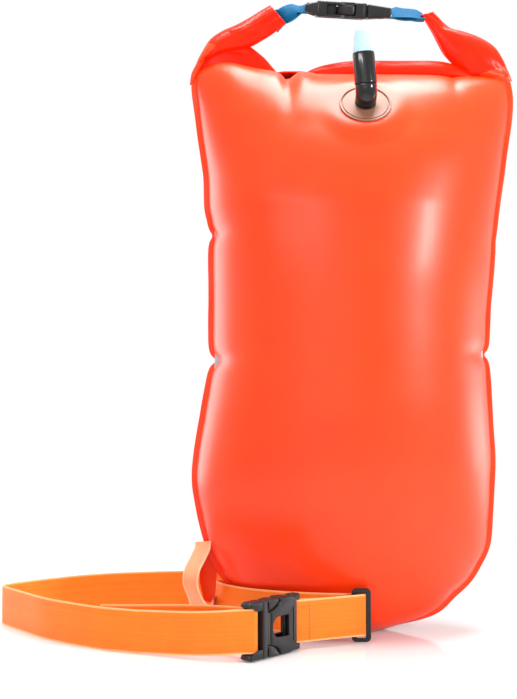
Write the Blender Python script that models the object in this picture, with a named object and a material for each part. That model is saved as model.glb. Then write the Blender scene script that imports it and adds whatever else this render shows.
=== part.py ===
"""Open water swim buoy: an inflatable roll-top tow bag standing on its base, with its buckled
carry handle, oral valve, leash and waist belt. Metres, +Z up, the front faces -Y.
The origin is the centre of the flat patch that the bag stands on."""

import math

import bmesh
import bpy
from mathutils import Matrix, Vector

# Sheet and running gaps
SHEET = 0.0007
GAP = 0.0003
WEBBING = 0.0016
WEBBING_WIDTH = 0.038
OVERRUN = 0.01
CUT_INSET = 0.0020
MERGE_DISTANCE = GAP / 10
SHARP_ANGLE_DEG = 35
BEVEL_SEGMENTS = 2

# Bag body
BAG_HEIGHT = 0.541
BAG_HALF_WIDTH = 0.163
FRONT_DEPTH = 0.098
BACK_DEPTH = 0.094
BASE_HALF_LENGTH = 0.047
BASE_HALF_DEPTH = 0.028
BASE_SEAM_BOW = 0.011
FLANGE = 0.007
BAG_COLUMNS = 14
LINER_CLEARANCE = 0.004
LINER_LAYER = GAP / 2
SKIN_LAYER = LINER_LAYER + SHEET + GAP
SWELL_POWER = 0.62
FLANGE_GROWTH_ROWS = 3

# Height of each row of the bag, its left and right edges and its depth, as shares
BAG_ROW_SHARES = (
    (0.020, -0.400, 0.405, 0.37),
    (0.050, -0.560, 0.560, 0.45),
    (0.085, -0.690, 0.690, 0.54),
    (0.130, -0.790, 0.830, 0.68),
    (0.180, -0.845, 0.885, 0.80),
    (0.250, -0.890, 0.895, 0.92),
    (0.340, -0.875, 0.895, 0.99),
    (0.420, -0.830, 0.880, 1.00),
    (0.485, -0.790, 0.850, 1.00),
    (0.560, -0.805, 0.890, 1.00),
    (0.660, -0.800, 0.900, 0.98),
    (0.750, -0.825, 0.935, 0.94),
    (0.850, -0.860, 0.985, 0.84),
    (0.915, -0.890, 1.010, 0.70),
    (0.955, -0.905, 1.000, 0.52),
    (0.980, -0.900, 0.985, 0.32),
    (0.992, -0.895, 0.980, 0.14),
)

# Rolled mouth, its stiffener and the two ears that make the handle
ROLL_END_SHARES = (-0.350, 0.601)
ROLL_HEIGHT = 0.0220
ROLL_DEPTH = 0.0200
ROLL_TURNS = 1.75
ROLL_TURN_POINTS = 12
ROLL_PITCH = 0.0026
STIFFENER_HEIGHT = 0.0110
STIFFENER_THICKNESS = 0.0020
HANDLE_RISE = 0.0700
EAR_DEPTH = 0.0220
EAR_SIDES = 12
EAR_TIP_INSET_SHARE = 0.33

# Each ear's outer and inner edge, bottom to tip: X as shares of the bag's half width, heights as
# shares of the handle's rise over the bag, and depth as shares of the ear's depth
LEFT_EAR_SHARES = (
    (-0.940, 0.000, -0.365, 0.000, 0.80),
    (-0.905, 0.250, -0.455, 0.225, 1.00),
    (-0.860, 0.455, -0.540, 0.430, 1.00),
    (-0.790, 0.660, -0.552, 0.530, 0.90),
    (-0.665, 0.810, -0.485, 0.615, 0.80),
    (-0.540, 0.945, -0.415, 0.715, 0.70),
    (-0.442, 1.055, -0.375, 0.850, 0.55),
)
RIGHT_EAR_SHARES = (
    (1.020, 0.000, 0.730, 0.000, 0.80),
    (0.990, 0.205, 0.663, 0.190, 1.00),
    (0.920, 0.480, 0.607, 0.370, 0.90),
    (0.805, 0.655, 0.570, 0.545, 0.80),
    (0.670, 0.750, 0.543, 0.690, 0.70),
    (0.590, 0.890, 0.503, 0.835, 0.55),
    (0.570, 0.980, 0.487, 0.955, 0.50),
)

# Side-release buckles: the roll buckle and the waist buckle are one design in two lengths
BUCKLE_SIDE = 0.006
BUCKLE_WIDTH = WEBBING_WIDTH + 2 * BUCKLE_SIDE
BUCKLE_THICKNESS = 0.015
BUCKLE_ROUND = 0.0022
BUCKLE_WALL = 0.0024
BUCKLE_FACE_WALL = 0.0022
HOUSING_LAP = 0.0025
BAR_LENGTH = 0.0044
BAR_THICKNESS = 0.0044
SLOT_LENGTH = 0.0060
SLOT_WEB = 0.0026
SLOT_SIDE_CLEARANCE = 0.001
END_FRAME_THICKNESS = 0.0100
WINDOW_END_MARGIN = 0.006
WINDOW_HEIGHT = 0.0100
WINDOW_REACH = 0.0245
ARM_FACE_CLEARANCE = 0.0011
ARM_HEIGHT = BUCKLE_THICKNESS - 2 * (BUCKLE_FACE_WALL + ARM_FACE_CLEARANCE)
ARM_THICKNESS = 0.0034
ARM_HEAD_LENGTH = 0.0150
ARM_HEAD_FLAT_SHARE = 0.45
ARM_HEEL_SHARE = 0.33
ARM_HEAD_CLEARANCE = 0.0006
ARM_SHOULDER_CLEARANCE = 0.0008
GUIDE_HALF_WIDTH = 0.0050
GUIDE_HALF_HEIGHT = 0.0030
GUIDE_REACH_SHARE = 0.45
DOOR_LENGTH = 0.0210
DOOR_HALF_WIDTH = 0.0095
DOOR_START = 0.0100
DOOR_STEPS = 8
ROLL_HOUSING_LENGTH = 0.061
ROLL_PLUG_LENGTH = 0.0240
WAIST_HOUSING_LENGTH = 0.048
WAIST_PLUG_LENGTH = 0.0240

# Place and turn of each buckle. A place on the plan is a pair of shares: X of the bag's half width,
# and Y of the front's depth before the bag and of the back's depth behind it
ROLL_BUCKLE_MOUTH_SHARE = 0.132
ROLL_BUCKLE_DROP_DEG = 3.5
ROLL_BUCKLE_TILT_DEG = 17.0
WAIST_BUCKLE_MOUTH_SHARES = (-0.503, -1.306)
WAIST_BUCKLE_TURN_DEG = 230.0
FLOOR_CLEARANCE = 0.0002

# Handle webbing
HANDLE_WEBBING_WIDTH = 0.030
HANDLE_WEBBING_NARROW = 0.015
HANDLE_TWIST_DEG = 70.0
HANDLE_TWIST_START_SHARE = 0.84

# Inflation valve
VALVE_CENTRE_SHARES = (0.092, 0.926)
VALVE_TILT_DEG = 35.0
# How far the elbow stands turned on its neck, so that its tube leans to the left
VALVE_REST_TURN_DEG = 6.4
VALVE_DISC_RADIUS = 0.0245
VALVE_DISC_THICKNESS = 0.0016
NECK_RADIUS = 0.0070
NECK_BORE_RADIUS = 0.0046
NECK_LENGTH = 0.0060
ELBOW_RADIUS = 0.0100
ELBOW_BORE_RADIUS = 0.0050
ELBOW_STUB = 0.0150
ELBOW_BEND_RADIUS = 0.0115
ELBOW_STEPS = 6
SHOULDER_LENGTH = 0.0012
UPRIGHT_LEAN_DEG = 4.0
INNER_TUBE_RADIUS = 0.0076
INNER_TUBE_LENGTH = 0.0255
SLEEVE_RADIUS = 0.0105
SLEEVE_LENGTH = 0.0252
MOUTHPIECE_LENGTH = 0.0215
MOUTHPIECE_COLLAR_SHARE = 0.12
MOUTHPIECE_BASE_RADIUS = 0.0094
MOUTHPIECE_TIP_RADIUS = 0.0057
MOUTHPIECE_BORE_RADIUS = 0.0030
MOUTHPIECE_LIFT = 0.0035
SHANK_RADIUS = 0.0045
SHANK_LENGTH = 0.0120
STEM_RADIUS = 0.0012
STEM_LENGTH = 0.0140
POPPET_RADIUS = 0.0040
POPPET_THICKNESS = 0.0015
SEAL_THICKNESS = 0.0010
SEAT_BORE_RADIUS = 0.0027
SPRING_WIRE = 0.0005
SPRING_RADIUS = 0.0036
SPRING_TURNS = 5
SPRING_TURN_POINTS = 10
SPRING_LENGTH = 0.0080
ROUND_SIDES = 24

# Waist belt. Its route is places on the plan, each with how far the webbing is raised there: 0 on the
# floor, 1 centred on the buckle. It starts at the slider, goes behind the bag and round the left end
WEBBING_RAISED = BUCKLE_SIDE + FLOOR_CLEARANCE
BAR_TURN_STEPS = 8
SLIDER_PLATE_LENGTH = 0.0180
SLIDER_SIDE = 0.0055
SLIDER_WIDTH = WEBBING_WIDTH + 2 * SLIDER_SIDE
SLIDER_THICKNESS = 0.0036
SLIDER_BAR_LENGTH = 0.0044
SLIDER_TURN_BAR_SHARES = (0.101, -0.648)
SLIDER_TURN_DEG = 180.0
SEWN_END_LENGTH = 0.014
SEWN_LAYER_GAP = 0.0004
FRONT_LAYER_STEPS = 5
MIDDLE_STRIP_SHARES = (
    (0.012, -0.612, 1.0),
    (-0.074, -0.617, 1.0),
    (-0.202, -0.582, 1.0),
    (-0.399, -0.485, 1.0),
    (-0.577, -0.316, 1.0),
    (-0.699, -0.112, 1.0),
    (-0.770, 0.085, 1.0),
    (-0.779, 0.160, 1.0),
    (-0.758, 0.207, 1.0),
    (-0.733, 0.245, 0.9),
    (-0.687, 0.394, 0.7),
    (-0.552, 0.638, 0.4),
    (-0.307, 0.883, 0.1),
    (0.000, 1.021, 0.0),
    (0.172, 1.074, 0.0),
    (0.206, 1.112, 0.0),
    (0.172, 1.154, 0.0),
    (0.000, 1.213, 0.0),
    (-0.429, 1.298, 0.0),
    (-1.012, 1.287, 0.0),
    (-1.387, 1.170, 0.0),
    (-1.558, 1.064, 0.0),
    (-1.693, 0.936, 0.0),
    (-1.902, 0.660, 0.0),
    (-2.031, 0.436, 0.0),
    (-2.077, 0.330, 0.0),
    (-2.089, 0.266, 0.0),
    (-2.074, 0.191, 0.0),
    (-1.920, -0.153, 0.0),
    (-1.724, -0.551, 0.0),
    (-1.423, -0.959, 0.0),
    (-1.202, -1.133, 0.0),
)
PLUG_RUN_SHARES = (
    (-1.135, -1.176, 0.1),
    (-0.982, -1.291, 0.25),
    (-0.834, -1.393, 0.5),
    (-0.730, -1.459, 0.8),
)
PLUG_RETURN_SHARES = (
    (-0.724, -1.276, 0.9),
    (-0.859, -1.102, 0.7),
    (-1.043, -0.990, 0.4),
    (-1.227, -0.939, 0.2),
    (-1.399, -0.898, 0.1),
)
BELT_STEP = 0.011

# Leash, from the bag's corner down to the belt's fold: shares of the half width, the depth and the
# height. It lies a webbing's thickness outside the fold, and turns on edge on its way down
LEASH_WIDTH = 0.025
LEASH_TOP_ACROSS = (0.25, -1.0, 0.0)
LEASH_LOW_ACROSS = (0.0, 0.0, 1.0)
LEASH_TURN_START_SHARE = 0.6
LEASH_ROUTE_SHARES = (
    (-0.858, -0.061, 0.163),
    (-0.890, -0.092, 0.140),
    (-0.936, -0.143, 0.113),
    (-0.933, -0.143, 0.083),
    (-0.902, -0.102, 0.055),
    (-0.860, -0.031, 0.037),
    (-0.817, 0.043, 0.032),
    (-0.786, 0.106, 0.032),
    (-0.779, 0.176, 0.032),
)
LEASH_STEP = 0.006

# Outline of the leash's tab, as shares of its width and height down from its weld on the flange
LEASH_TAB_CORNER_SHARES = (-0.788, 0.137)
LEASH_TAB_WIDTH = 0.0115
LEASH_TAB_HEIGHT = 0.0430
LEASH_TAB_SHARES = (
    (-1.00, 0.00),
    (-0.35, 0.00),
    (0.20, -0.28),
    (0.00, -0.52),
    (0.00, -1.00),
    (-1.00, -1.00),
)

# Colours
BAG_RED = (1.0, 0.105, 0.030)
ROLL_RED = (1.0, 0.070, 0.015)
BELT_ORANGE = (1.0, 0.220, 0.025)
HANDLE_BLUE = (0.03, 0.27, 0.55)
BUCKLE_BLACK = (0.03, 0.03, 0.035)
VALVE_BLACK = (0.02, 0.02, 0.02)
VALVE_PALE = (0.55, 0.80, 0.92)
DISC_BEIGE = (0.55, 0.42, 0.36)
LINER_GREY = (0.45, 0.45, 0.45)
SPRING_STEEL = (0.6, 0.6, 0.6)


def clear_scene():
    for old in list(bpy.data.objects):
        bpy.data.objects.remove(old, do_unlink=True)


def make_material(name, colour, roughness, metallic=0.0):
    material = bpy.data.materials.new(name)
    material.use_nodes = True
    shader = material.node_tree.nodes["Principled BSDF"]
    shader.inputs["Base Color"].default_value = (*colour, 1.0)
    shader.inputs["Roughness"].default_value = roughness
    shader.inputs["Metallic"].default_value = metallic
    return material


def place(obj, material, parent=None, location=None):
    bpy.context.scene.collection.objects.link(obj)
    obj.data.materials.append(material)
    obj.parent = parent
    if location is not None:
        obj.location = location
    return obj


def mesh_object(name, bm, material, parent=None, location=None, outward=True):
    if outward:
        bmesh.ops.recalc_face_normals(bm, faces=bm.faces)
    mesh = bpy.data.meshes.new(name)
    bm.to_mesh(mesh)
    bm.free()
    mesh.shade_smooth()
    mesh.set_sharp_from_angle(angle=math.radians(SHARP_ANGLE_DEG))
    return place(bpy.data.objects.new(name, mesh), material, parent, location)


def smooth_route(points, step):
    """Points a step apart along a Catmull-Rom curve through the given ones."""
    fixed = [Vector(point) for point in points]
    ends = [2 * fixed[0] - fixed[1], *fixed, 2 * fixed[-1] - fixed[-2]]
    route = []
    for before, start, end, after in zip(ends, ends[1:], ends[2:], ends[3:]):
        count = max(1, round((end - start).length / step))
        for index in range(count):
            t = index / count
            route.append(
                0.5
                * (
                    2 * start
                    + (end - before) * t
                    + (2 * before - 5 * start + 4 * end - after) * t * t
                    + (3 * start - before - 3 * end + after) * t * t * t
                )
            )
    return [*route, fixed[-1]]


def lofted(rings):
    """A closed body through rings of equally many points, capped at both ends."""
    bm = bmesh.new()
    loops = [[bm.verts.new(point) for point in ring] for ring in rings]
    for lower, upper in zip(loops, loops[1:]):
        for index in range(len(lower)):
            following = (index + 1) % len(lower)
            bm.faces.new((lower[index], lower[following], upper[following], upper[index]))
    bm.faces.new(reversed(loops[0]))
    bm.faces.new(loops[-1])
    return bm


def pipe(rings_outside, rings_inside):
    """A closed tube body between an outer and an inner set of rings."""
    bm = bmesh.new()
    rings = (*rings_outside, *reversed(rings_inside))
    loops = [[bm.verts.new(point) for point in ring] for ring in rings]
    for lower, upper in zip(loops, [*loops[1:], loops[0]]):
        for index in range(len(lower)):
            following = (index + 1) % len(lower)
            bm.faces.new((lower[index], lower[following], upper[following], upper[index]))
    return bm


def ring_around(centre, axis, radius, sides=ROUND_SIDES):
    turn = Vector(axis).to_track_quat("Z", "Y")
    points = []
    for index in range(sides):
        angle = 2 * math.pi * index / sides
        spoke = Vector((radius * math.cos(angle), radius * math.sin(angle), 0))
        points.append(Vector(centre) + turn @ spoke)
    return points


def turned(name, profile, material, parent, location=None):
    """A body turned about Z from (radius, height) pairs that make a closed outline."""
    bm = bmesh.new()
    loops = []
    for radius, height in profile:
        if radius == 0:
            loops.append([bm.verts.new((0, 0, height))])
        else:
            ring = ring_around((0, 0, height), (0, 0, 1), radius)
            loops.append([bm.verts.new(point) for point in ring])
    closed = profile[0][0] > 0
    pairs = list(zip(loops, loops[1:])) + ([(loops[-1], loops[0])] if closed else [])
    for lower, upper in pairs:
        for index in range(ROUND_SIDES):
            following = (index + 1) % ROUND_SIDES
            corners = [lower[index % len(lower)], lower[following % len(lower)]]
            corners += [upper[following % len(upper)], upper[index % len(upper)]]
            bm.faces.new(list(dict.fromkeys(corners)))
    return mesh_object(name, bm, material, parent, location)


def block(name, low, high, material, parent=None, round_by=0.0):
    """A box between two corners, its edges rounded by a Bevel."""
    bm = bmesh.new()
    bmesh.ops.create_cube(bm, size=1.0)
    size = [b - a for a, b in zip(low, high)]
    middle = [(a + b) / 2 for a, b in zip(low, high)]
    matrix = Matrix.Translation(middle) @ Matrix.Diagonal((*size, 1))
    bmesh.ops.transform(bm, matrix=matrix, verts=bm.verts)
    obj = mesh_object(name, bm, material, parent)
    if round_by:
        bevel = obj.modifiers.new("Rounded edges", "BEVEL")
        bevel.width = round_by
        bevel.segments = BEVEL_SEGMENTS
        bevel.limit_method = "ANGLE"
    return obj


def prism(name, outline, low, high, material, parent=None, location=None, round_by=0.0):
    """An outline in X and Y, extruded from low to high in Z."""
    bm = lofted([[(x, y, z) for x, y in outline] for z in (low, high)])
    obj = mesh_object(name, bm, material, parent, location)
    if round_by:
        bevel = obj.modifiers.new("Rounded edges", "BEVEL")
        bevel.width = round_by
        bevel.segments = BEVEL_SEGMENTS
        bevel.limit_method = "ANGLE"
    return obj


def combine(obj, other, operation="DIFFERENCE"):
    """Cuts a helper from an object, or adds it, and keeps the helper out of the render."""
    other.hide_render = True
    other.display_type = "WIRE"
    boolean = obj.modifiers.new(other.name, "BOOLEAN")
    boolean.operation = operation
    boolean.object = other
    return obj


def standing_band(name, route, low_of, height, thickness, material, parent=None):
    """A strap on edge: each route point is (x, y, rise share), and low_of gives its lower edge."""
    rings = []
    for index, point in enumerate(route):
        before = route[max(index - 1, 0)]
        after = route[min(index + 1, len(route) - 1)]
        along = Vector((after.x - before.x, after.y - before.y)).normalized()
        across = Vector((-along.y, along.x)) * (thickness / 2)
        low = low_of(point.z)
        left = (point.x + across.x, point.y + across.y)
        right = (point.x - across.x, point.y - across.y)
        rings.append([(*left, low), (*right, low), (*right, low + height), (*left, low + height)])
    return mesh_object(name, lofted(rings), material, parent)


def flat_band(name, route, widths, thickness, material, parent=None):
    """A strap along a 3-D route; widths gives the direction across it and its width at each point."""
    rings = []
    for index, point in enumerate(route):
        along = (route[min(index + 1, len(route) - 1)] - route[max(index - 1, 0)]).normalized()
        direction, width = widths(index / (len(route) - 1))
        across = (direction - direction.dot(along) * along).normalized()
        normal = along.cross(across) * (thickness / 2)
        across = across * (width / 2)
        rings.append(
            [
                point - across - normal,
                point + across - normal,
                point + across + normal,
                point - across + normal,
            ]
        )
    return mesh_object(name, lofted(rings), material, parent)


def on_floor(shares):
    """A place on the plan, from its shares of the bag's half width and depth."""
    across, out = shares
    return Vector((across * BAG_HALF_WIDTH, out * (FRONT_DEPTH if out < 0 else BACK_DEPTH)))


def belt_points(route):
    """Places on the plan with the raise share of each kept as their third number."""
    return [Vector((*on_floor(shares), raised_share)) for *shares, raised_share in route]


def bag_rows():
    """Height, left edge, right edge and depth share of each row, in metres."""
    rows = []
    for height, left, right, depth in BAG_ROW_SHARES:
        rows.append((height * BAG_HEIGHT, left * BAG_HALF_WIDTH, right * BAG_HALF_WIDTH, depth))
    return rows


def skin_out(x, z):
    """How far the front skin's outer face stands out at a place between its rows."""
    rows = bag_rows()
    lower, upper = next(pair for pair in zip(rows, rows[1:]) if pair[0][0] <= z <= pair[1][0])
    share = (z - lower[0]) / (upper[0] - lower[0])
    left, right, depth = (low + (high - low) * share for low, high in zip(lower[1:], upper[1:]))
    across = (2 * x - left - right) / (right - left)
    slope = math.atan2((lower[3] - upper[3]) * FRONT_DEPTH, upper[0] - lower[0])
    return SKIN_LAYER + FRONT_DEPTH * depth * (1 - across**2) ** SWELL_POWER + SHEET / math.cos(slope)


def flange_offsets(edge):
    """Outward offset of the weld flange along one edge of the bag, square to that edge."""
    offsets = []
    for index, (x, z) in enumerate(edge):
        before = edge[max(index - 1, 0)]
        after = edge[min(index + 1, len(edge) - 1)]
        along = Vector((after[0] - before[0], after[1] - before[1])).normalized()
        outward = Vector((along.y, -along.x)) * (1 if x > 0 else -1)
        grown = min(1.0, index / FLANGE_GROWTH_ROWS)
        offsets.append((outward.x * FLANGE * grown, max(outward.y * FLANGE * grown, -z / 2)))
    return offsets


def bag_skin(name, depth, side, material):
    """One welded PVC chamber wall. side is -1 for the front and 1 for the back."""
    rows = bag_rows()
    left_flange = flange_offsets([(left, z) for z, left, _, _ in rows])
    right_flange = flange_offsets([(right, z) for z, _, right, _ in rows])
    bm = bmesh.new()
    grid = []
    layer = SKIN_LAYER
    base = []
    under = []
    for column in range(BAG_COLUMNS + 1):
        across = math.sin(math.pi * (column / BAG_COLUMNS - 0.5))
        swell = (1 - across**2) ** SWELL_POWER
        base.append((across * BASE_HALF_LENGTH, side * (layer + BASE_HALF_DEPTH * swell), SHEET))
        under.append((across * BASE_HALF_LENGTH, side * layer + BASE_SEAM_BOW * swell, SHEET))
    for line in (under, base):
        grid.append([line[0], *line, line[-1]])
    for (z, left, right, share), out_left, out_right in zip(rows, left_flange, right_flange):
        line = [(left + out_left[0], side * layer, z + out_left[1])]
        for column in range(BAG_COLUMNS + 1):
            across = math.sin(math.pi * (column / BAG_COLUMNS - 0.5))
            swell = (1 - across**2) ** SWELL_POWER
            x = (left + right) / 2 + across * (right - left) / 2
            line.append((x, side * (layer + depth * share * swell), z))
        line.append((right + out_right[0], side * layer, z + out_right[1]))
        grid.append(line)
    grid.append([(x, side * layer, max(z, BAG_HEIGHT)) for x, _, z in grid[-1]])
    made = [[bm.verts.new(point) for point in line] for line in grid]
    for lower, upper in zip(made, made[1:]):
        for index in range(len(lower) - 1):
            bm.faces.new((lower[index], lower[index + 1], upper[index + 1], upper[index]))
    bmesh.ops.remove_doubles(bm, verts=bm.verts, dist=MERGE_DISTANCE)
    obj = mesh_object(name, bm, material, outward=False)
    thicken = obj.modifiers.new("Sheet", "SOLIDIFY")
    thicken.thickness = SHEET
    thicken.offset = 1.0 if side < 0 else -1.0
    thicken.use_rim = True
    return obj


def liner(name, side, material):
    """A flat inner wall of the dry compartment, pressed against its twin."""
    rows = bag_rows()
    left_flange = flange_offsets([(left, z) for z, left, _, _ in rows])
    right_flange = flange_offsets([(right, z) for z, _, right, _ in rows])
    bm = bmesh.new()
    half_base = BASE_HALF_LENGTH - GAP
    lines = [[(-half_base, LINER_CLEARANCE), (half_base, LINER_CLEARANCE)]]
    for (z, left, right, _), out_left, out_right in zip(rows, left_flange, right_flange):
        lower_left = (left + out_left[0], z + out_left[1])
        lines.append([lower_left, (right + out_right[0], z + out_right[1])])
    lines.append([(lines[-1][0][0], BAG_HEIGHT), (lines[-1][1][0], BAG_HEIGHT)])
    made = [[bm.verts.new((x, side * LINER_LAYER, z)) for x, z in line] for line in lines]
    for lower, upper in zip(made, made[1:]):
        bm.faces.new((lower[0], lower[1], upper[1], upper[0]))
    obj = mesh_object(name, bm, material, outward=False)
    thicken = obj.modifiers.new("Sheet", "SOLIDIFY")
    thicken.thickness = SHEET
    thicken.offset = 1.0 if side < 0 else -1.0
    return obj


def make_bag():
    skin = make_material("Bag PVC", BAG_RED, 0.35)
    inner = make_material("Liner film", LINER_GREY, 0.5)
    front = bag_skin("bag_front_skin", FRONT_DEPTH, -1, skin)
    seat = frame_empty("valve_hole_frame", valve_frame())
    ends = (-OVERRUN, VALVE_DISC_THICKNESS)
    rings = [ring_around((0, 0, z), (0, 0, 1), NECK_BORE_RADIUS) for z in ends]
    hole = mesh_object("valve_hole_cut", lofted(rings), skin, seat)
    combine(front, hole)
    liner("dry_liner_front", -1, inner)
    liner("dry_liner_back", 1, inner)
    bag_skin("bag_back_skin", BACK_DEPTH, 1, skin)


def make_roll():
    """The mouth rolled over its stiffener, above the welded top edge of the bag."""
    skin = make_material("Rolled PVC", ROLL_RED, 0.4)
    strip = make_material("Stiffener plastic", LINER_GREY, 0.5)
    centre_z = BAG_HEIGHT + SHEET + GAP + ROLL_HEIGHT / 2
    outside, inside = [], []
    steps = round(ROLL_TURNS * ROLL_TURN_POINTS)
    for index in range(steps + 1):
        angle = 2 * math.pi * index / ROLL_TURN_POINTS - math.pi / 2
        shrink = ROLL_PITCH * index / ROLL_TURN_POINTS
        for side, points in ((0.0, outside), (SHEET, inside)):
            half_depth = ROLL_DEPTH / 2 - shrink - side
            half_height = ROLL_HEIGHT / 2 - shrink - side
            points.append((half_depth * math.cos(angle), centre_z + half_height * math.sin(angle)))
    outline = [*outside, *reversed(inside)]
    left, right = (share * BAG_HALF_WIDTH for share in ROLL_END_SHARES)
    rings = [[(x, y, z) for y, z in outline] for x in (left, right)]
    mesh_object("roll_band", lofted(rings), skin)
    low = (left, -STIFFENER_THICKNESS / 2, centre_z - STIFFENER_HEIGHT / 2)
    high = (right, STIFFENER_THICKNESS / 2, centre_z + STIFFENER_HEIGHT / 2)
    block("roll_stiffener", low, high, strip)


def ear(name, shares, material):
    """A rolled end of the mouth, lofted through flat ovals from the bag's corner to its tip."""
    base = BAG_HEIGHT + SHEET + GAP * 2
    rings = []
    for outer_x, outer_z, inner_x, inner_z, depth in shares:
        outer = Vector((outer_x * BAG_HALF_WIDTH, 0, base + outer_z * HANDLE_RISE))
        inner = Vector((inner_x * BAG_HALF_WIDTH, 0, base + inner_z * HANDLE_RISE))
        ring = []
        for step in range(EAR_SIDES):
            angle = 2 * math.pi * step / EAR_SIDES
            at = outer.lerp(inner, (1 - math.cos(angle)) / 2)
            ring.append(at + Vector((0, EAR_DEPTH / 2 * depth * math.sin(angle), 0)))
        rings.append(ring)
    return mesh_object(name, lofted(rings), material)


def ear_tip(shares):
    """Where the handle webbing leaves an ear."""
    outer_x, outer_z, inner_x, inner_z, _ = shares[-1]
    x = (outer_x + inner_x) / 2 * BAG_HALF_WIDTH
    z = (outer_z + inner_z) / 2 * HANDLE_RISE
    inward = -1 if x > 0 else 1
    return Vector((x + inward * EAR_DEPTH * EAR_TIP_INSET_SHARE, 0, BAG_HEIGHT + z))


def make_ears():
    skin = make_material("Ear PVC", ROLL_RED, 0.4)
    ear("roll_ear_left", LEFT_EAR_SHARES, skin)
    ear("roll_ear_right", RIGHT_EAR_SHARES, skin)


def frame_empty(name, matrix):
    empty = bpy.data.objects.new(name, None)
    bpy.context.scene.collection.objects.link(empty)
    empty.matrix_world = matrix
    return empty


def roll_buckle_matrix():
    drop = Matrix.Rotation(math.radians(ROLL_BUCKLE_DROP_DEG), 4, "Y")
    tilt = Matrix.Rotation(math.radians(ROLL_BUCKLE_TILT_DEG), 4, "X")
    mouth = (ROLL_BUCKLE_MOUTH_SHARE * BAG_HALF_WIDTH, 0, BAG_HEIGHT + HANDLE_RISE)
    return Matrix.Translation(mouth) @ drop @ tilt


def waist_buckle_matrix():
    x, y = on_floor(WAIST_BUCKLE_MOUTH_SHARES)
    turn = Matrix.Rotation(math.radians(WAIST_BUCKLE_TURN_DEG), 4, "Z")
    upright = Matrix.Rotation(math.radians(90), 4, "X")
    return Matrix.Translation((x, y, BUCKLE_WIDTH / 2 + FLOOR_CLEARANCE)) @ turn @ upright


def end_bar(body, far, inward, prefix, parent, material):
    """Cuts the webbing slot at one end of a buckle piece, and thins the bar beyond it."""
    half = WEBBING_WIDTH / 2 + SLOT_SIDE_CLEARANCE
    slot_near = far + inward * BAR_LENGTH
    slot_far = slot_near + inward * SLOT_LENGTH
    low_x, high_x = sorted((slot_near, slot_far))
    tall = BUCKLE_THICKNESS
    low, high = (low_x, -half, -tall), (high_x, half, tall)
    slot = block(f"{prefix}_slot_cut", low, high, material, parent)
    combine(body, slot)
    low_x, high_x = sorted((far - inward * OVERRUN, slot_near + inward * GAP))
    for sign in (-1, 1):
        low_z, high_z = sorted((sign * BAR_THICKNESS / 2, sign * tall))
        low, high = (low_x, -half, low_z), (high_x, half, high_z)
        shave = block(f"{prefix}_bar_cut_{sign}", low, high, material, parent)
        combine(body, shave)


def side_release_buckle(prefix, matrix, housing_length, plug_length, front_sign):
    """Housing, plug and two arms. Locally the plug leaves along +X, Y is across and Z is thickness."""
    plastic = make_material(f"{prefix} acetal", BUCKLE_BLACK, 0.35)
    frame = frame_empty(f"{prefix}_frame", matrix)
    half_width = BUCKLE_WIDTH / 2
    half_thick = BUCKLE_THICKNESS / 2
    frame_length = BAR_LENGTH + SLOT_LENGTH
    cavity = housing_length - frame_length - SLOT_WEB
    housing = block(
        f"{prefix}_housing",
        (-housing_length + frame_length - HOUSING_LAP, -half_width, -half_thick),
        (0, half_width, half_thick),
        plastic,
        frame,
        BUCKLE_ROUND,
    )
    tail = block(
        f"{prefix}_tail_add",
        (-housing_length, -half_width, -END_FRAME_THICKNESS / 2),
        (-housing_length + frame_length + SLOT_WEB, half_width, END_FRAME_THICKNESS / 2),
        plastic,
        frame,
        BUCKLE_ROUND,
    )
    combine(housing, tail, "UNION")
    inner = half_width - BUCKLE_WALL
    inner_z = half_thick - BUCKLE_FACE_WALL
    low, high = (-cavity, -inner, -inner_z), (OVERRUN, inner, inner_z)
    hollow = block(f"{prefix}_cavity_cut", low, high, plastic, frame)
    combine(housing, hollow)
    window_far = -WINDOW_END_MARGIN - WINDOW_REACH
    for sign in (-1, 1):
        low_y, high_y = sorted((sign * (inner - CUT_INSET), sign * (half_width + OVERRUN)))
        opening = block(
            f"{prefix}_window_cut_{sign}",
            (window_far, low_y, -WINDOW_HEIGHT / 2),
            (-WINDOW_END_MARGIN, high_y, WINDOW_HEIGHT / 2),
            plastic,
            frame,
        )
        combine(housing, opening)
    door = door_cutter(f"{prefix}_door_cut", front_sign, inner_z, plastic, frame)
    combine(housing, door)
    end_bar(housing, -housing_length, 1, f"{prefix}_housing", frame, plastic)

    plug = block(
        f"{prefix}_plug",
        (GAP, -half_width, -END_FRAME_THICKNESS / 2),
        (plug_length, half_width, END_FRAME_THICKNESS / 2),
        plastic,
        frame,
        BUCKLE_ROUND,
    )
    guide = block(
        f"{prefix}_guide_add",
        (-cavity * GUIDE_REACH_SHARE, -GUIDE_HALF_WIDTH, -GUIDE_HALF_HEIGHT),
        (SLOT_LENGTH, GUIDE_HALF_WIDTH, GUIDE_HALF_HEIGHT),
        plastic,
        frame,
    )
    combine(plug, guide, "UNION")
    end_bar(plug, plug_length, -1, f"{prefix}_plug", frame, plastic)
    for label, sign in (("a", 1), ("b", -1)):
        buckle_arm(f"{prefix}_arm_{label}", sign, window_far, inner, half_width, plastic, frame)


def door_cutter(name, front_sign, inner_z, material, parent):
    """The D-shaped window in the front face, straight on the mouth side and round on the other."""
    outline = [(-DOOR_START, -DOOR_HALF_WIDTH), (-DOOR_START, DOOR_HALF_WIDTH)]
    round_reach = DOOR_LENGTH - DOOR_HALF_WIDTH
    for step in range(DOOR_STEPS + 1):
        angle = math.pi / 2 + math.pi * step / DOOR_STEPS
        x = -DOOR_START - round_reach + DOOR_HALF_WIDTH * math.cos(angle)
        outline.append((x, DOOR_HALF_WIDTH * math.sin(angle)))
    low, high = sorted((front_sign * (inner_z - CUT_INSET), front_sign * (inner_z + OVERRUN)))
    return prism(name, outline, low, high, material, parent)


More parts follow.
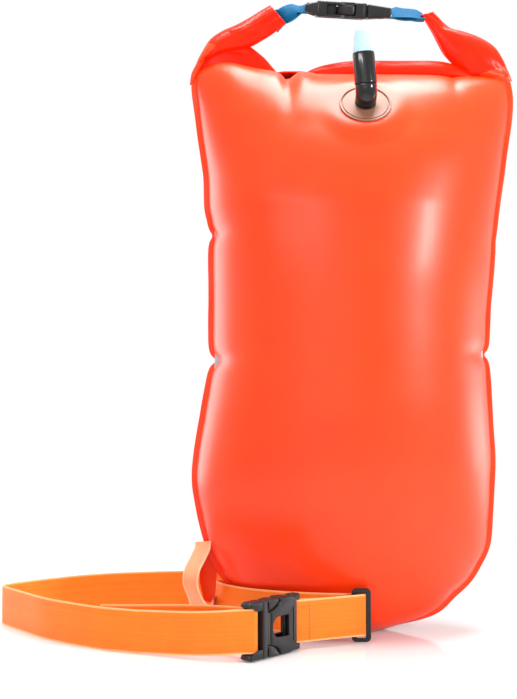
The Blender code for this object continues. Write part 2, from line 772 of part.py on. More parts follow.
def buckle_arm(name, sign, window_far, inner, half_width, material, parent):
    """A springy arm whose head fills the side window. Its origin is on its flexing root."""
    root_x = -GAP
    root_y = sign * (inner - ARM_SHOULDER_CLEARANCE - ARM_THICKNESS / 2)
    head_front = -WINDOW_END_MARGIN - ARM_SHOULDER_CLEARANCE
    head_back = window_far + WINDOW_REACH - ARM_HEAD_LENGTH
    outer = half_width - ARM_HEAD_CLEARANCE
    stem_outer = inner - ARM_SHOULDER_CLEARANCE
    stem_inner = stem_outer - ARM_THICKNESS
    outline = [
        (root_x, stem_inner),
        (root_x, stem_outer),
        (head_front + ARM_SHOULDER_CLEARANCE, stem_outer),
        (head_front, outer),
        (head_front - ARM_HEAD_LENGTH * ARM_HEAD_FLAT_SHARE, outer),
        (head_back, stem_outer),
        (head_back - ARM_THICKNESS, stem_inner + ARM_THICKNESS * ARM_HEEL_SHARE),
        (head_back - ARM_THICKNESS, stem_inner),
    ]
    local = [(x - root_x, sign * y - root_y) for x, y in outline]
    if sign < 0:
        local.reverse()
    prism(name, local, -ARM_HEIGHT / 2, ARM_HEIGHT / 2, material, parent, (root_x, root_y, 0))


def make_handle_webbing():
    """The two blue straps between the buckle's bars and the tips of the ears."""
    blue = make_material("Handle webbing", HANDLE_BLUE, 0.6)
    matrix = roll_buckle_matrix()
    level = matrix.to_3x3() @ Vector((0, 1, 0))
    radius = math.hypot(BAR_LENGTH, BAR_THICKNESS) / 2 + GAP + WEBBING / 2
    twist = math.radians(HANDLE_TWIST_DEG)
    for name, far, sign, shares in (
        ("roll_webbing_left", -ROLL_HOUSING_LENGTH, -1, LEFT_EAR_SHARES),
        ("roll_webbing_right", ROLL_PLUG_LENGTH, 1, RIGHT_EAR_SHARES),
    ):
        centre = far - sign * BAR_LENGTH / 2
        local = [(far + sign * BAR_LENGTH / 2, 0, -radius)]
        for step in range(BAR_TURN_STEPS + 1):
            angle = math.pi * step / BAR_TURN_STEPS
            local.append((centre - sign * radius * math.sin(angle), 0, -radius * math.cos(angle)))
        route = [matrix @ Vector(point) for point in local]
        away = ear_tip(shares) - route[-1]
        leaving = (matrix.to_3x3() @ Vector((sign, 0, 0))) * away.length / 3
        route += [route[-1] + leaving, route[-1] + (away + leaving) / 2, route[-1] + away]

        def across(share):
            turning = max(0.0, share - HANDLE_TWIST_START_SHARE) / (1 - HANDLE_TWIST_START_SHARE)
            width = HANDLE_WEBBING_WIDTH + (HANDLE_WEBBING_NARROW - HANDLE_WEBBING_WIDTH) * turning
            return Matrix.Rotation(twist * turning, 3, "X") @ level, width

        flat_band(name, route, across, WEBBING, blue)


def valve_frame():
    """Seat of the valve on the front wall, with +Z along the neck. The disc clears the skin all over."""
    centre_x = VALVE_CENTRE_SHARES[0] * BAG_HALF_WIDTH
    centre_z = VALVE_CENTRE_SHARES[1] * BAG_HEIGHT
    tilt = math.radians(VALVE_TILT_DEG)
    needed = []
    for radius in (0, VALVE_DISC_RADIUS / 2, VALVE_DISC_RADIUS):
        for x, rise, _ in ring_around((0, 0, 0), (0, 0, 1), radius):
            out = skin_out(centre_x + x, centre_z + rise * math.cos(tilt))
            needed.append(out + rise * math.sin(tilt))
    turn = Matrix.Rotation(math.radians(90) - tilt, 4, "X")
    turn = turn @ Matrix.Rotation(math.radians(VALVE_REST_TURN_DEG), 4, "Z")
    return Matrix.Translation((centre_x, -max(needed) - GAP, centre_z)) @ turn


def elbow_path():
    """Centre line of the elbow: out of the neck, round the bend and up, in the valve's frame."""
    start = VALVE_DISC_THICKNESS + GAP
    bend = math.radians(90 - VALVE_TILT_DEG - UPRIGHT_LEAN_DEG)
    straight = ELBOW_STUB - ELBOW_BEND_RADIUS * math.tan(bend / 2)
    path = [((0, 0, start), (0, 0, 1)), ((0, 0, straight), (0, 0, 1))]
    for step in range(1, ELBOW_STEPS + 1):
        angle = bend * step / ELBOW_STEPS
        y = ELBOW_BEND_RADIUS * (1 - math.cos(angle))
        z = straight + ELBOW_BEND_RADIUS * math.sin(angle)
        path.append(((0, y, z), (0, math.sin(angle), math.cos(angle))))
    end, upward = path[-1]
    return path, Vector(end), Vector(upward)


def make_valve():
    matrix = valve_frame()
    seat = frame_empty("valve_seat", matrix)
    clear = make_material("Valve disc PVC", DISC_BEIGE, 0.3)
    black = make_material("Valve rubber", VALVE_BLACK, 0.15)
    pale = make_material("Mouthpiece plastic", VALVE_PALE, 0.2)
    steel = make_material("Valve spring steel", SPRING_STEEL, 0.3, 1.0)

    disc = [
        (NECK_BORE_RADIUS, 0),
        (VALVE_DISC_RADIUS, 0),
        (VALVE_DISC_RADIUS, VALVE_DISC_THICKNESS),
        (NECK_RADIUS, VALVE_DISC_THICKNESS),
        (NECK_RADIUS, NECK_LENGTH),
        (NECK_BORE_RADIUS, NECK_LENGTH),
    ]
    turned("valve_base_disc", disc, clear, seat)

    rim = INNER_TUBE_LENGTH + MOUTHPIECE_LIFT
    stem_top = INNER_TUBE_LENGTH - SHANK_LENGTH - GAP
    poppet_top = stem_top - STEM_LENGTH + POPPET_THICKNESS
    seal_low = poppet_top + GAP
    spring_low = stem_top - GAP - SPRING_WIRE - SPRING_LENGTH

    path, bend_end, upward = elbow_path()
    outer, inner = [], []
    socket = NECK_RADIUS + GAP
    for index, (centre, axis) in enumerate(path):
        outer.append(ring_around(centre, axis, ELBOW_RADIUS))
        if index == 0:
            inner.append(ring_around(centre, axis, socket))
            deep = (0, 0, NECK_LENGTH + GAP)
            inner.append(ring_around(deep, axis, socket))
            inner.append(ring_around(deep, axis, ELBOW_BORE_RADIUS))
        elif index > 1:
            inner.append(ring_around(centre, axis, ELBOW_BORE_RADIUS))
    shoulder = bend_end + upward * SHOULDER_LENGTH
    outer.append(ring_around(shoulder, upward, ELBOW_RADIUS))
    outer.append(ring_around(shoulder, upward, INNER_TUBE_RADIUS))
    tube_top = shoulder + upward * INNER_TUBE_LENGTH
    outer.append(ring_around(tube_top, upward, INNER_TUBE_RADIUS))
    seat_low = shoulder + upward * (seal_low + SEAL_THICKNESS + GAP)
    seat_high = shoulder + upward * (spring_low - SPRING_WIRE / 2 - GAP)
    inner.append(ring_around(seat_low, upward, ELBOW_BORE_RADIUS))
    inner.append(ring_around(seat_low, upward, SEAT_BORE_RADIUS))
    inner.append(ring_around(seat_high, upward, SEAT_BORE_RADIUS))
    inner.append(ring_around(seat_high, upward, ELBOW_BORE_RADIUS))
    inner.append(ring_around(tube_top, upward, ELBOW_BORE_RADIUS))
    mesh_object("valve_elbow", pipe(outer, inner), black, seat)

    upright = Matrix.Translation(shoulder) @ upward.to_track_quat("Z", "Y").to_matrix().to_4x4()
    column = frame_empty("valve_column", matrix @ upright)
    sleeve = [
        (INNER_TUBE_RADIUS + GAP, GAP),
        (SLEEVE_RADIUS, GAP),
        (SLEEVE_RADIUS, SLEEVE_LENGTH),
        (INNER_TUBE_RADIUS + GAP, SLEEVE_LENGTH),
    ]
    turned("valve_lock_sleeve", sleeve, black, column)

    mouthpiece = [
        (MOUTHPIECE_BORE_RADIUS, INNER_TUBE_LENGTH - SHANK_LENGTH),
        (SHANK_RADIUS, INNER_TUBE_LENGTH - SHANK_LENGTH),
        (SHANK_RADIUS, rim),
        (MOUTHPIECE_BASE_RADIUS, rim),
        (MOUTHPIECE_BASE_RADIUS, rim + MOUTHPIECE_LENGTH * MOUTHPIECE_COLLAR_SHARE),
        (MOUTHPIECE_TIP_RADIUS, rim + MOUTHPIECE_LENGTH),
        (MOUTHPIECE_BORE_RADIUS, rim + MOUTHPIECE_LENGTH),
    ]
    turned("valve_mouthpiece", mouthpiece, pale, column)

    stem = [
        (0, stem_top - STEM_LENGTH),
        (POPPET_RADIUS, stem_top - STEM_LENGTH),
        (POPPET_RADIUS, poppet_top),
        (STEM_RADIUS, poppet_top),
        (STEM_RADIUS, stem_top),
        (0, stem_top),
    ]
    turned("valve_stem", stem, pale, column)
    seal = [
        (STEM_RADIUS + GAP, seal_low),
        (POPPET_RADIUS, seal_low),
        (POPPET_RADIUS, seal_low + SEAL_THICKNESS),
        (STEM_RADIUS + GAP, seal_low + SEAL_THICKNESS),
    ]
    turned("valve_seal", seal, black, column)
    coil_spring("valve_spring", spring_low, steel, column)


def coil_spring(name, low, material, parent):
    """The coil that pushes the mouthpiece out, round the stem."""
    curve = bpy.data.curves.new(name, "CURVE")
    curve.dimensions = "3D"
    curve.bevel_depth = SPRING_WIRE / 2
    curve.bevel_resolution = 1
    curve.use_fill_caps = True
    spline = curve.splines.new("POLY")
    count = SPRING_TURNS * SPRING_TURN_POINTS + 1
    spline.points.add(count - 1)
    for index in range(count):
        angle = 2 * math.pi * index / SPRING_TURN_POINTS
        height = low + SPRING_LENGTH * index / (count - 1)
        x, y = SPRING_RADIUS * math.cos(angle), SPRING_RADIUS * math.sin(angle)
        spline.points[index].co = (x, y, height, 1)
    return place(bpy.data.objects.new(name, curve), material, parent)


def rise(share):
    """Height of the belt's lower edge: on the floor at 0, centred on the buckle at 1."""
    return max(0.0, share) * WEBBING_RAISED


def wrap(centre, radius, before, after):
    """The webbing's turn round a bar that it keeps on its left, between two points on its way."""
    arriving = centre - before
    leaving = after - centre
    first = math.atan2(arriving.y, arriving.x) - math.asin(radius / arriving.length) - math.pi / 2
    last = math.atan2(leaving.y, leaving.x) + math.asin(radius / leaving.length) - math.pi / 2
    while last < first:
        last += 2 * math.pi
    points = []
    for step in range(BAR_TURN_STEPS + 1):
        angle = first + (last - first) * step / BAR_TURN_STEPS
        points.append(centre + radius * Vector((math.cos(angle), math.sin(angle))))
    return points


def on_plan(matrix, local_x):
    world = matrix @ Vector((local_x, 0, 0))
    return Vector((world.x, world.y))


def straight(start, end, count):
    return [start.lerp(end, index / count) for index in range(count)]


def raised(points, share=1.0):
    return [Vector((point.x, point.y, share)) for point in points]


def make_belt():
    orange = make_material("Belt webbing", BELT_ORANGE, 0.6)
    matrix = waist_buckle_matrix()
    reach = GAP + WEBBING / 2
    buckle_radius = math.hypot(BAR_LENGTH, BAR_THICKNESS) / 2 + reach
    slider_radius = math.hypot(SLIDER_BAR_LENGTH, SLIDER_THICKNESS) / 2 + reach
    housing_bar = on_plan(matrix, -WAIST_HOUSING_LENGTH + BAR_LENGTH / 2)
    plug_bar = on_plan(matrix, WAIST_PLUG_LENGTH - BAR_LENGTH / 2)
    slider_bar = on_floor(SLIDER_TURN_BAR_SHARES)
    strip = belt_points(MIDDLE_STRIP_SHARES)
    plug_run = belt_points(PLUG_RUN_SHARES)

    # The front layer runs from the housing's bar to the slider, with the sewn end behind it
    heading = (slider_bar - housing_bar).normalized()
    left_hand = Vector((-heading.y, heading.x))
    layer_start = housing_bar - left_hand * buckle_radius
    inner_line = layer_start + left_hand * (WEBBING + SEWN_LAYER_GAP)
    tail = inner_line + heading * (SEWN_END_LENGTH + buckle_radius * 2)
    meeting = inner_line + heading * buckle_radius * 3
    housing_turn = wrap(housing_bar, buckle_radius, meeting, slider_bar - left_hand * slider_radius)
    slider_turn = wrap(slider_bar, slider_radius, housing_turn[-1], strip[0].to_2d())
    front_layer = straight(housing_turn[-1], slider_turn[0], FRONT_LAYER_STEPS)[1:]
    middle = smooth_route([*raised(slider_turn[-1:]), *strip], BELT_STEP)
    route = [*raised([tail, meeting, *housing_turn, *front_layer, *slider_turn[:-1]]), *middle]
    standing_band("waist_belt_webbing", route, rise, WEBBING_WIDTH, WEBBING, orange)

    apart = (plug_run[0] - strip[-1]).normalized() * GAP * 2
    run = smooth_route([strip[-1] + apart, *plug_run], BELT_STEP)
    back = smooth_route(belt_points(PLUG_RETURN_SHARES), BELT_STEP)
    plug_turn = wrap(plug_bar, buckle_radius, run[-1].to_2d(), back[0].to_2d())
    route = [*run, *raised(plug_turn), *back]
    standing_band("waist_belt_plug_end", route, rise, WEBBING_WIDTH, WEBBING, orange)


def make_slider():
    """The two-bar slider, standing on its edge, with the belt turned round its far bar."""
    plastic = make_material("Slider acetal", BUCKLE_BLACK, 0.35)
    turn = Matrix.Rotation(math.radians(SLIDER_TURN_DEG), 4, "Z")
    upright = Matrix.Rotation(math.radians(90), 4, "X")
    x, y = on_floor(SLIDER_TURN_BAR_SHARES)
    matrix = Matrix.Translation((x, y, SLIDER_WIDTH / 2 + FLOOR_CLEARANCE)) @ turn @ upright
    frame = frame_empty("slider_frame", matrix)
    half_bar = SLIDER_BAR_LENGTH / 2
    low = (-half_bar, -SLIDER_WIDTH / 2, -SLIDER_THICKNESS / 2)
    high = (SLIDER_PLATE_LENGTH - half_bar, SLIDER_WIDTH / 2, SLIDER_THICKNESS / 2)
    slider = block("belt_slider", low, high, plastic, frame)
    half = WEBBING_WIDTH / 2 + SLOT_SIDE_CLEARANCE
    far = SLIDER_PLATE_LENGTH - SLIDER_BAR_LENGTH - half_bar
    low, high = (half_bar, -half, -SLIDER_WIDTH), (far, half, SLIDER_WIDTH)
    combine(slider, block("slider_slot_cut", low, high, plastic, frame))


def make_leash():
    """The leash webbing, from the tab on the bag's corner to the fold of the belt."""
    orange = make_material("Leash webbing", BELT_ORANGE, 0.6)
    skin = make_material("Leash tab PVC", ROLL_RED, 0.4)

    def across(share):
        turning = max(0.0, share - LEASH_TURN_START_SHARE) / (1 - LEASH_TURN_START_SHARE)
        return Vector(LEASH_TOP_ACROSS).lerp(Vector(LEASH_LOW_ACROSS), turning), LEASH_WIDTH

    outside = Vector((WEBBING + GAP, 0, 0))
    places = []
    for *plan, height in LEASH_ROUTE_SHARES:
        places.append(Vector((*on_floor(plan), height * BAG_HEIGHT)) - outside)
    flat_band("leash_webbing", smooth_route(places, LEASH_STEP), across, WEBBING, orange)
    behind = SKIN_LAYER + SHEET + GAP
    corner_x = LEASH_TAB_CORNER_SHARES[0] * BAG_HALF_WIDTH
    corner_z = LEASH_TAB_CORNER_SHARES[1] * BAG_HEIGHT
    outline = []
    for right, up in LEASH_TAB_SHARES:
        outline.append((corner_x + right * LEASH_TAB_WIDTH, corner_z + up * LEASH_TAB_HEIGHT))
    rings = [[(x, y, z) for x, z in outline] for y in (behind, behind + SHEET)]
    mesh_object("leash_tab", lofted(rings), skin)


def main():
    clear_scene()
    make_bag()
    make_roll()
    make_ears()
    roll, waist = roll_buckle_matrix(), waist_buckle_matrix()
    side_release_buckle("roll_buckle", roll, ROLL_HOUSING_LENGTH, ROLL_PLUG_LENGTH, 1)
    make_handle_webbing()
    make_valve()
    side_release_buckle("waist_buckle", waist, WAIST_HOUSING_LENGTH, WAIST_PLUG_LENGTH, -1)
    make_belt()
    make_slider()
    make_leash()


main()
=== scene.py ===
"""Looks of the open water swim buoy: film, welds, webbing, buckles and valve built around its
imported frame. Metres, +Z up, and the front faces -Y."""

import math

import bpy
import numpy as np
from mathutils import Matrix, Vector, noise


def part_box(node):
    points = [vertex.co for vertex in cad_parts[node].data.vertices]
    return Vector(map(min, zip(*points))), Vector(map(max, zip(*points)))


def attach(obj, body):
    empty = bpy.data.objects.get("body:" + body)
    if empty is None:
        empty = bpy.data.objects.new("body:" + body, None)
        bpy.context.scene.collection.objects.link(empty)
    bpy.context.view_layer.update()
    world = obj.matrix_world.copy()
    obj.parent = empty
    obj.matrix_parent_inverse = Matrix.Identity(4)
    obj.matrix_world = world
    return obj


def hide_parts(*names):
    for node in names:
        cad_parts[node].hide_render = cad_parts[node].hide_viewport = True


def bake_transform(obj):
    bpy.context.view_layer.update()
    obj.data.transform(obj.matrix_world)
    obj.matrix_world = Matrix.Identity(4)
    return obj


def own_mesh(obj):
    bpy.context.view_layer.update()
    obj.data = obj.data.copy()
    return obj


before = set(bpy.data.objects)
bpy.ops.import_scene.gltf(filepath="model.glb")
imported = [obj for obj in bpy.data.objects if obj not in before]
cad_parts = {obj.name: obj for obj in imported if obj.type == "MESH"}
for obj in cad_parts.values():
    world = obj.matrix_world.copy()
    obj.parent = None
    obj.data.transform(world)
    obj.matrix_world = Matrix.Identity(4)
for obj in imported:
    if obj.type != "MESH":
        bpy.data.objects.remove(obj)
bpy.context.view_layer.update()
bpy.ops.object.select_all(action="DESELECT")

MM = 0.001
FILM = 0.7 * MM
BAG_TOP = 541 * MM
WEBBING = 1.6 * MM
BELT_HEIGHT = 38 * MM
BELT_RAISED = 6.2 * MM

# Camera
LENS_MM = 60.15
CAMERA_PLACE = (-0.0854, -1.153, 0.225)
CAMERA_PITCH_DEG = 2.39

# Each lamp's name, place, aim, width, height and watts
SOFTBOXES = (
    ("front_softbox", (-0.45, -1.6, 0.42), (0, 0, 0.3), 1.3, 1.0, 3.2),
    ("top_softbox", (0.02, -0.05, 1.5), (0, -0.03, 0.5), 1.0, 0.6, 36),
    ("left_softbox", (-0.92, 0.62, 0.4), (-0.05, 0, 0.3), 0.55, 0.9, 6.5),
    ("right_softbox", (1.0, 0.35, 0.12), (0.05, 0, 0.2), 0.5, 0.34, 3.2),
    ("window", (0.92, -0.70, 0.57), (0.07, -0.08, 0.40), 0.17, 0.2, 9),
    ("tube_softbox", (-0.9, -1.2, 0.80), (0, -0.08, 0.55), 1.1, 0.06, 4),
)
WORLD_STRENGTH = 0.42
FLOOR_SIZE = 8
FLOOR_DROP = 0.4 * MM
# The floor turns from its own grey to the backdrop's white between these distances from the bag
FLOOR_MIDDLE = (-0.08, -0.04, 0)
FLOOR_GREY_TO = 0.30
FLOOR_WHITE_FROM = 0.75
FLOOR_LEAST_WHITE = 0.12


# Camera, light and floor
def make_camera():
    data = bpy.data.cameras.new("camera")
    data.lens = LENS_MM
    data.sensor_width = 36
    camera = bpy.data.objects.new("camera", data)
    camera.location = CAMERA_PLACE
    camera.rotation_euler = (math.radians(90 + CAMERA_PITCH_DEG), 0, 0)
    bpy.context.scene.collection.objects.link(camera)
    bpy.context.scene.camera = camera


def add_softbox(name, place, aim, width, height, watts):
    data = bpy.data.lights.new(name, "AREA")
    data.shape = "RECTANGLE"
    data.size = width
    data.size_y = height
    data.energy = watts
    lamp = bpy.data.objects.new(name, data)
    lamp.location = place
    lamp.rotation_euler = (Vector(aim) - Vector(place)).to_track_quat("-Z", "Y").to_euler()
    bpy.context.scene.collection.objects.link(lamp)


def seen_directly(tree):
    """1 where the camera, a reflection or a clear piece looks straight at it."""
    path = tree.nodes.new("ShaderNodeLightPath")
    total = path.outputs["Is Camera Ray"]
    for ray in ("Is Glossy Ray", "Is Transmission Ray"):
        most = tree.nodes.new("ShaderNodeMath")
        most.operation = "MAXIMUM"
        tree.links.new(total, most.inputs[0])
        tree.links.new(path.outputs[ray], most.inputs[1])
        total = most.outputs[0]
    return total


def make_studio():
    world = bpy.data.worlds.new("studio")
    bpy.context.scene.world = world
    world.use_nodes = True
    tree = world.node_tree
    output = tree.nodes["World Output"]
    soft = tree.nodes["Background"]
    soft.inputs["Strength"].default_value = WORLD_STRENGTH
    soft.inputs["Color"].default_value = (1, 1, 1, 1)
    white = tree.nodes.new("ShaderNodeBackground")
    white.inputs["Color"].default_value = (1, 1, 1, 1)
    mix = tree.nodes.new("ShaderNodeMixShader")
    tree.links.new(seen_directly(tree), mix.inputs[0])
    tree.links.new(soft.outputs[0], mix.inputs[1])
    tree.links.new(white.outputs[0], mix.inputs[2])
    tree.links.new(mix.outputs[0], output.inputs["Surface"])

    for softbox in SOFTBOXES:
        add_softbox(*softbox)

    bpy.ops.mesh.primitive_plane_add(size=FLOOR_SIZE, location=(0, 0, -FLOOR_DROP))
    floor = bpy.context.object
    floor.name = "floor"
    material = bpy.data.materials.new("pale_floor")
    material.use_nodes = True
    tree = material.node_tree
    shader = tree.nodes["Principled BSDF"]
    shader.inputs["Base Color"].default_value = (0.8, 0.8, 0.8, 1)
    shader.inputs["Roughness"].default_value = 0.1
    shader.inputs["Specular IOR Level"].default_value = 0.5
    glow = tree.nodes.new("ShaderNodeEmission")
    glow.inputs["Strength"].default_value = 1.0
    mix = tree.nodes.new("ShaderNodeMixShader")
    share = tree.nodes.new("ShaderNodeMath")
    share.operation = "MULTIPLY"
    places = tree.nodes.new("ShaderNodeTexCoord")
    distance = tree.nodes.new("ShaderNodeVectorMath")
    distance.operation = "DISTANCE"
    distance.inputs[1].default_value = FLOOR_MIDDLE
    tree.links.new(places.outputs["Object"], distance.inputs[0])
    away = distance.outputs["Value"]
    white = ramp(tree, away, FLOOR_GREY_TO, FLOOR_WHITE_FROM, FLOOR_LEAST_WHITE, 1.0)
    tree.links.new(white, share.inputs[1])
    tree.links.new(seen_directly(tree), share.inputs[0])
    tree.links.new(share.outputs[0], mix.inputs[0])
    tree.links.new(shader.outputs[0], mix.inputs[1])
    tree.links.new(glow.outputs[0], mix.inputs[2])
    tree.links.new(mix.outputs[0], tree.nodes["Material Output"].inputs["Surface"])
    floor.data.materials.append(material)


# Finishes
def new_group(name, inputs, outputs):
    group = bpy.data.node_groups.new(name, "ShaderNodeTree")
    for label, value in inputs:
        kind = "NodeSocketVector" if value is None else "NodeSocketFloat"
        socket = group.interface.new_socket(label, in_out="INPUT", socket_type=kind)
        if value is not None:
            socket.default_value = value
    for label in outputs:
        group.interface.new_socket(label, in_out="OUTPUT", socket_type="NodeSocketFloat")
    start = group.nodes.new("NodeGroupInput")
    end = group.nodes.new("NodeGroupOutput")
    return group, start, end


def sums(tree, operation, first, second, clamp=False):
    """A Math node; each of the two may be a socket or a number."""
    node = tree.nodes.new("ShaderNodeMath")
    node.operation = operation
    node.use_clamp = clamp
    for index, value in enumerate((first, second)):
        if isinstance(value, (int, float)):
            node.inputs[index].default_value = value
        else:
            tree.links.new(value, node.inputs[index])
    return node.outputs[0]


def ramp(tree, value, low, high, to_low=0.0, to_high=1.0):
    node = tree.nodes.new("ShaderNodeMapRange")
    node.clamp = True
    for label, given in (
        ("Value", value),
        ("From Min", low),
        ("From Max", high),
        ("To Min", to_low),
        ("To Max", to_high),
    ):
        if isinstance(given, (int, float)):
            node.inputs[label].default_value = given
        else:
            tree.links.new(given, node.inputs[label])
    return node.outputs[0]


def cloud(tree, place, scale, detail=2.0, distortion=0.0):
    node = tree.nodes.new("ShaderNodeTexNoise")
    node.inputs["Detail"].default_value = detail
    node.inputs["Distortion"].default_value = distortion
    tree.links.new(place, node.inputs["Vector"])
    if isinstance(scale, (int, float)):
        node.inputs["Scale"].default_value = scale
    else:
        tree.links.new(scale, node.inputs["Scale"])
    return node.outputs["Fac"]


def film_group():
    """Coated film: cloudy tone, handling marks and a fine grain."""
    group, start, end = new_group(
        "coated_film",
        (("Place", None), ("Grain Scale", 900.0), ("Grain Height", 0.25), ("Marks", 0.5)),
        ("Tone", "Gloss Loss", "Height"),
    )
    place = start.outputs["Place"]
    broad = cloud(group, place, 7.0, 3.0)
    middle = cloud(group, place, 38.0, 4.0)
    tone = sums(group, "ADD", sums(group, "MULTIPLY", broad, 0.7), sums(group, "MULTIPLY", middle, 0.3))
    group.links.new(ramp(group, tone, 0.3, 0.7), end.inputs["Tone"])
    streak = group.nodes.new("ShaderNodeTexNoise")
    streak.inputs["Scale"].default_value = 24.0
    streak.inputs["Detail"].default_value = 6.0
    streak.inputs["Distortion"].default_value = 1.4
    stretched = group.nodes.new("ShaderNodeMapping")
    stretched.inputs["Scale"].default_value = (1.0, 1.0, 0.22)
    group.links.new(place, stretched.inputs["Vector"])
    group.links.new(stretched.outputs[0], streak.inputs["Vector"])
    marks = ramp(group, streak.outputs["Fac"], 0.56, 0.72)
    group.links.new(sums(group, "MULTIPLY", marks, start.outputs["Marks"]), end.inputs["Gloss Loss"])
    cells = group.nodes.new("ShaderNodeTexVoronoi")
    cells.feature = "SMOOTH_F1"
    group.links.new(place, cells.inputs["Vector"])
    group.links.new(start.outputs["Grain Scale"], cells.inputs["Scale"])
    grain = sums(group, "MULTIPLY", cells.outputs["Distance"], start.outputs["Grain Height"])
    waves = sums(group, "MULTIPLY", cloud(group, place, 60.0, 2.0), 0.8)
    group.links.new(sums(group, "ADD", grain, waves), end.inputs["Height"])
    return group


def weave_group():
    """Woven strap from its own UV in metres: U runs along it and V across it."""
    group, start, end = new_group(
        "woven_strap",
        (("Place", None), ("Half Width", 0.019), ("Rib Pitch", 0.0026), ("Pick Pitch", 0.0011)),
        ("Yarn", "Selvedge And Highlight", "Tone", "Height"),
    )
    apart = group.nodes.new("ShaderNodeSeparateXYZ")
    group.links.new(start.outputs["Place"], apart.inputs[0])
    along, across = apart.outputs["X"], apart.outputs["Y"]
    turn = 2 * math.pi
    rib_count = sums(group, "DIVIDE", across, start.outputs["Rib Pitch"])
    rib = sums(group, "SINE", sums(group, "MULTIPLY", rib_count, turn), 0)
    wobble = sums(group, "MULTIPLY", cloud(group, start.outputs["Place"], 300.0, 1.0), 1.2)
    pick_angle = sums(group, "MULTIPLY", sums(group, "DIVIDE", along, start.outputs["Pick Pitch"]), turn)
    slanted = sums(group, "ADD", pick_angle, sums(group, "MULTIPLY", sums(group, "ABSOLUTE", rib, 0), 2.2))
    pick = sums(group, "SINE", sums(group, "ADD", slanted, wobble), 0)
    yarn = sums(group, "MULTIPLY", sums(group, "ADD", pick, 1.0), 0.5)
    group.links.new(yarn, end.inputs["Yarn"])
    # Near both edges the woven edge is raised, and the same mask turns the colour paler: a painted highlight
    # on the strap's rims.
    inset = sums(group, "SUBTRACT", start.outputs["Half Width"], sums(group, "ABSOLUTE", across, 0))
    selvedge_and_highlight = ramp(group, inset, 0.0010, 0.0019, 1.0, 0.0)
    group.links.new(selvedge_and_highlight, end.inputs["Selvedge And Highlight"])
    tone = cloud(group, start.outputs["Place"], 45.0, 4.0)
    long_lines = group.nodes.new("ShaderNodeMapping")
    long_lines.inputs["Scale"].default_value = (3.0, 420.0, 1.0)
    group.links.new(start.outputs["Place"], long_lines.inputs["Vector"])
    lines = cloud(group, long_lines.outputs[0], 1.0, 2.0)
    mixed = sums(group, "ADD", sums(group, "MULTIPLY", tone, 0.4), sums(group, "MULTIPLY", lines, 0.6))
    group.links.new(ramp(group, mixed, 0.3, 0.7), end.inputs["Tone"])
    ridge = sums(group, "MULTIPLY", sums(group, "ADD", rib, 1.0), 0.35)
    height = sums(group, "ADD", ridge, sums(group, "MULTIPLY", yarn, 0.5))
    height = sums(group, "ADD", height, sums(group, "MULTIPLY", selvedge_and_highlight, 0.6))
    group.links.new(height, end.inputs["Height"])
    return group


def moulded_group():
    """Moulded part: fine spark texture, handling scuffs and rubbed edges."""
    group, start, end = new_group(
        "moulded_part",
        (("Place", None), ("Edge", 0.5), ("Texture Scale", 1400.0), ("Scuffs", 0.5), ("Rub", 0.5)),
        ("Wear", "Scuff", "Height"),
    )
    place = start.outputs["Place"]
    patchy = cloud(group, place, 160.0, 4.0)
    edge = ramp(group, start.outputs["Edge"], 0.515, 0.60)
    rubbed = sums(group, "MULTIPLY", edge, ramp(group, patchy, 0.35, 0.65))
    group.links.new(sums(group, "MULTIPLY", rubbed, start.outputs["Rub"]), end.inputs["Wear"])
    scratch = group.nodes.new("ShaderNodeTexNoise")
    scratch.inputs["Scale"].default_value = 210.0
    scratch.inputs["Detail"].default_value = 5.0
    scratch.inputs["Distortion"].default_value = 2.2
    group.links.new(place, scratch.inputs["Vector"])
    scuff = ramp(group, scratch.outputs["Fac"], 0.5, 0.7)
    group.links.new(sums(group, "MULTIPLY", scuff, start.outputs["Scuffs"]), end.inputs["Scuff"])
    group.links.new(cloud(group, place, start.outputs["Texture Scale"], 1.0), end.inputs["Height"])
    return group


FILM_GROUP = film_group()
WEAVE_GROUP = weave_group()
MOULDED_GROUP = moulded_group()


def linear(colour):
    """An sRGB colour from 0 to 255 as Blender's linear one."""
    made = []
    for part in colour:
        share = part / 255
        made.append(share / 12.92 if share <= 0.04045 else ((share + 0.055) / 1.055) ** 2.4)
    return (*made, 1.0)


def blank_material(name, group, place_kind):
    material = bpy.data.materials.new(name)
    material.use_nodes = True
    tree = material.node_tree
    node = tree.nodes.new("ShaderNodeGroup")
    node.node_tree = group
    places = tree.nodes.new("ShaderNodeTexCoord")
    tree.links.new(places.outputs[place_kind], node.inputs["Place"])
    return material, tree, tree.nodes["Principled BSDF"], node


def mixed_colour(tree, share, first, second):
    node = tree.nodes.new("ShaderNodeMix")
    node.data_type = "RGBA"
    tree.links.new(share, node.inputs[0])
    for socket, value in ((node.inputs[6], first), (node.inputs[7], second)):
        if isinstance(value, tuple):
            socket.default_value = value
        else:
            tree.links.new(value, socket)
    return node.outputs[2]


def bump(tree, shader, height, strength, distance):
    node = tree.nodes.new("ShaderNodeBump")
    node.inputs["Strength"].default_value = strength
    node.inputs["Distance"].default_value = distance
    tree.links.new(height, node.inputs["Height"])
    tree.links.new(node.outputs["Normal"], shader.inputs["Normal"])


def film_material(name, deep, pale, rough=0.34, coat=0.25, grain=0.25, marks=0.5, shine=0.3):
    material, tree, shader, node = blank_material(name, FILM_GROUP, "Object")
    node.inputs["Grain Height"].default_value = grain
    node.inputs["Marks"].default_value = marks
    colour = mixed_colour(tree, node.outputs["Tone"], linear(deep), linear(pale))
    tree.links.new(colour, shader.inputs["Base Color"])
    roughness = sums(tree, "ADD", sums(tree, "MULTIPLY", node.outputs["Gloss Loss"], 0.16), rough)
    tree.links.new(roughness, shader.inputs["Roughness"])
    shader.inputs["Coat Weight"].default_value = coat
    shader.inputs["Coat Roughness"].default_value = 0.22
    shader.inputs["Specular IOR Level"].default_value = shine
    bump(tree, shader, node.outputs["Height"], 0.12, 0.0006)
    return material


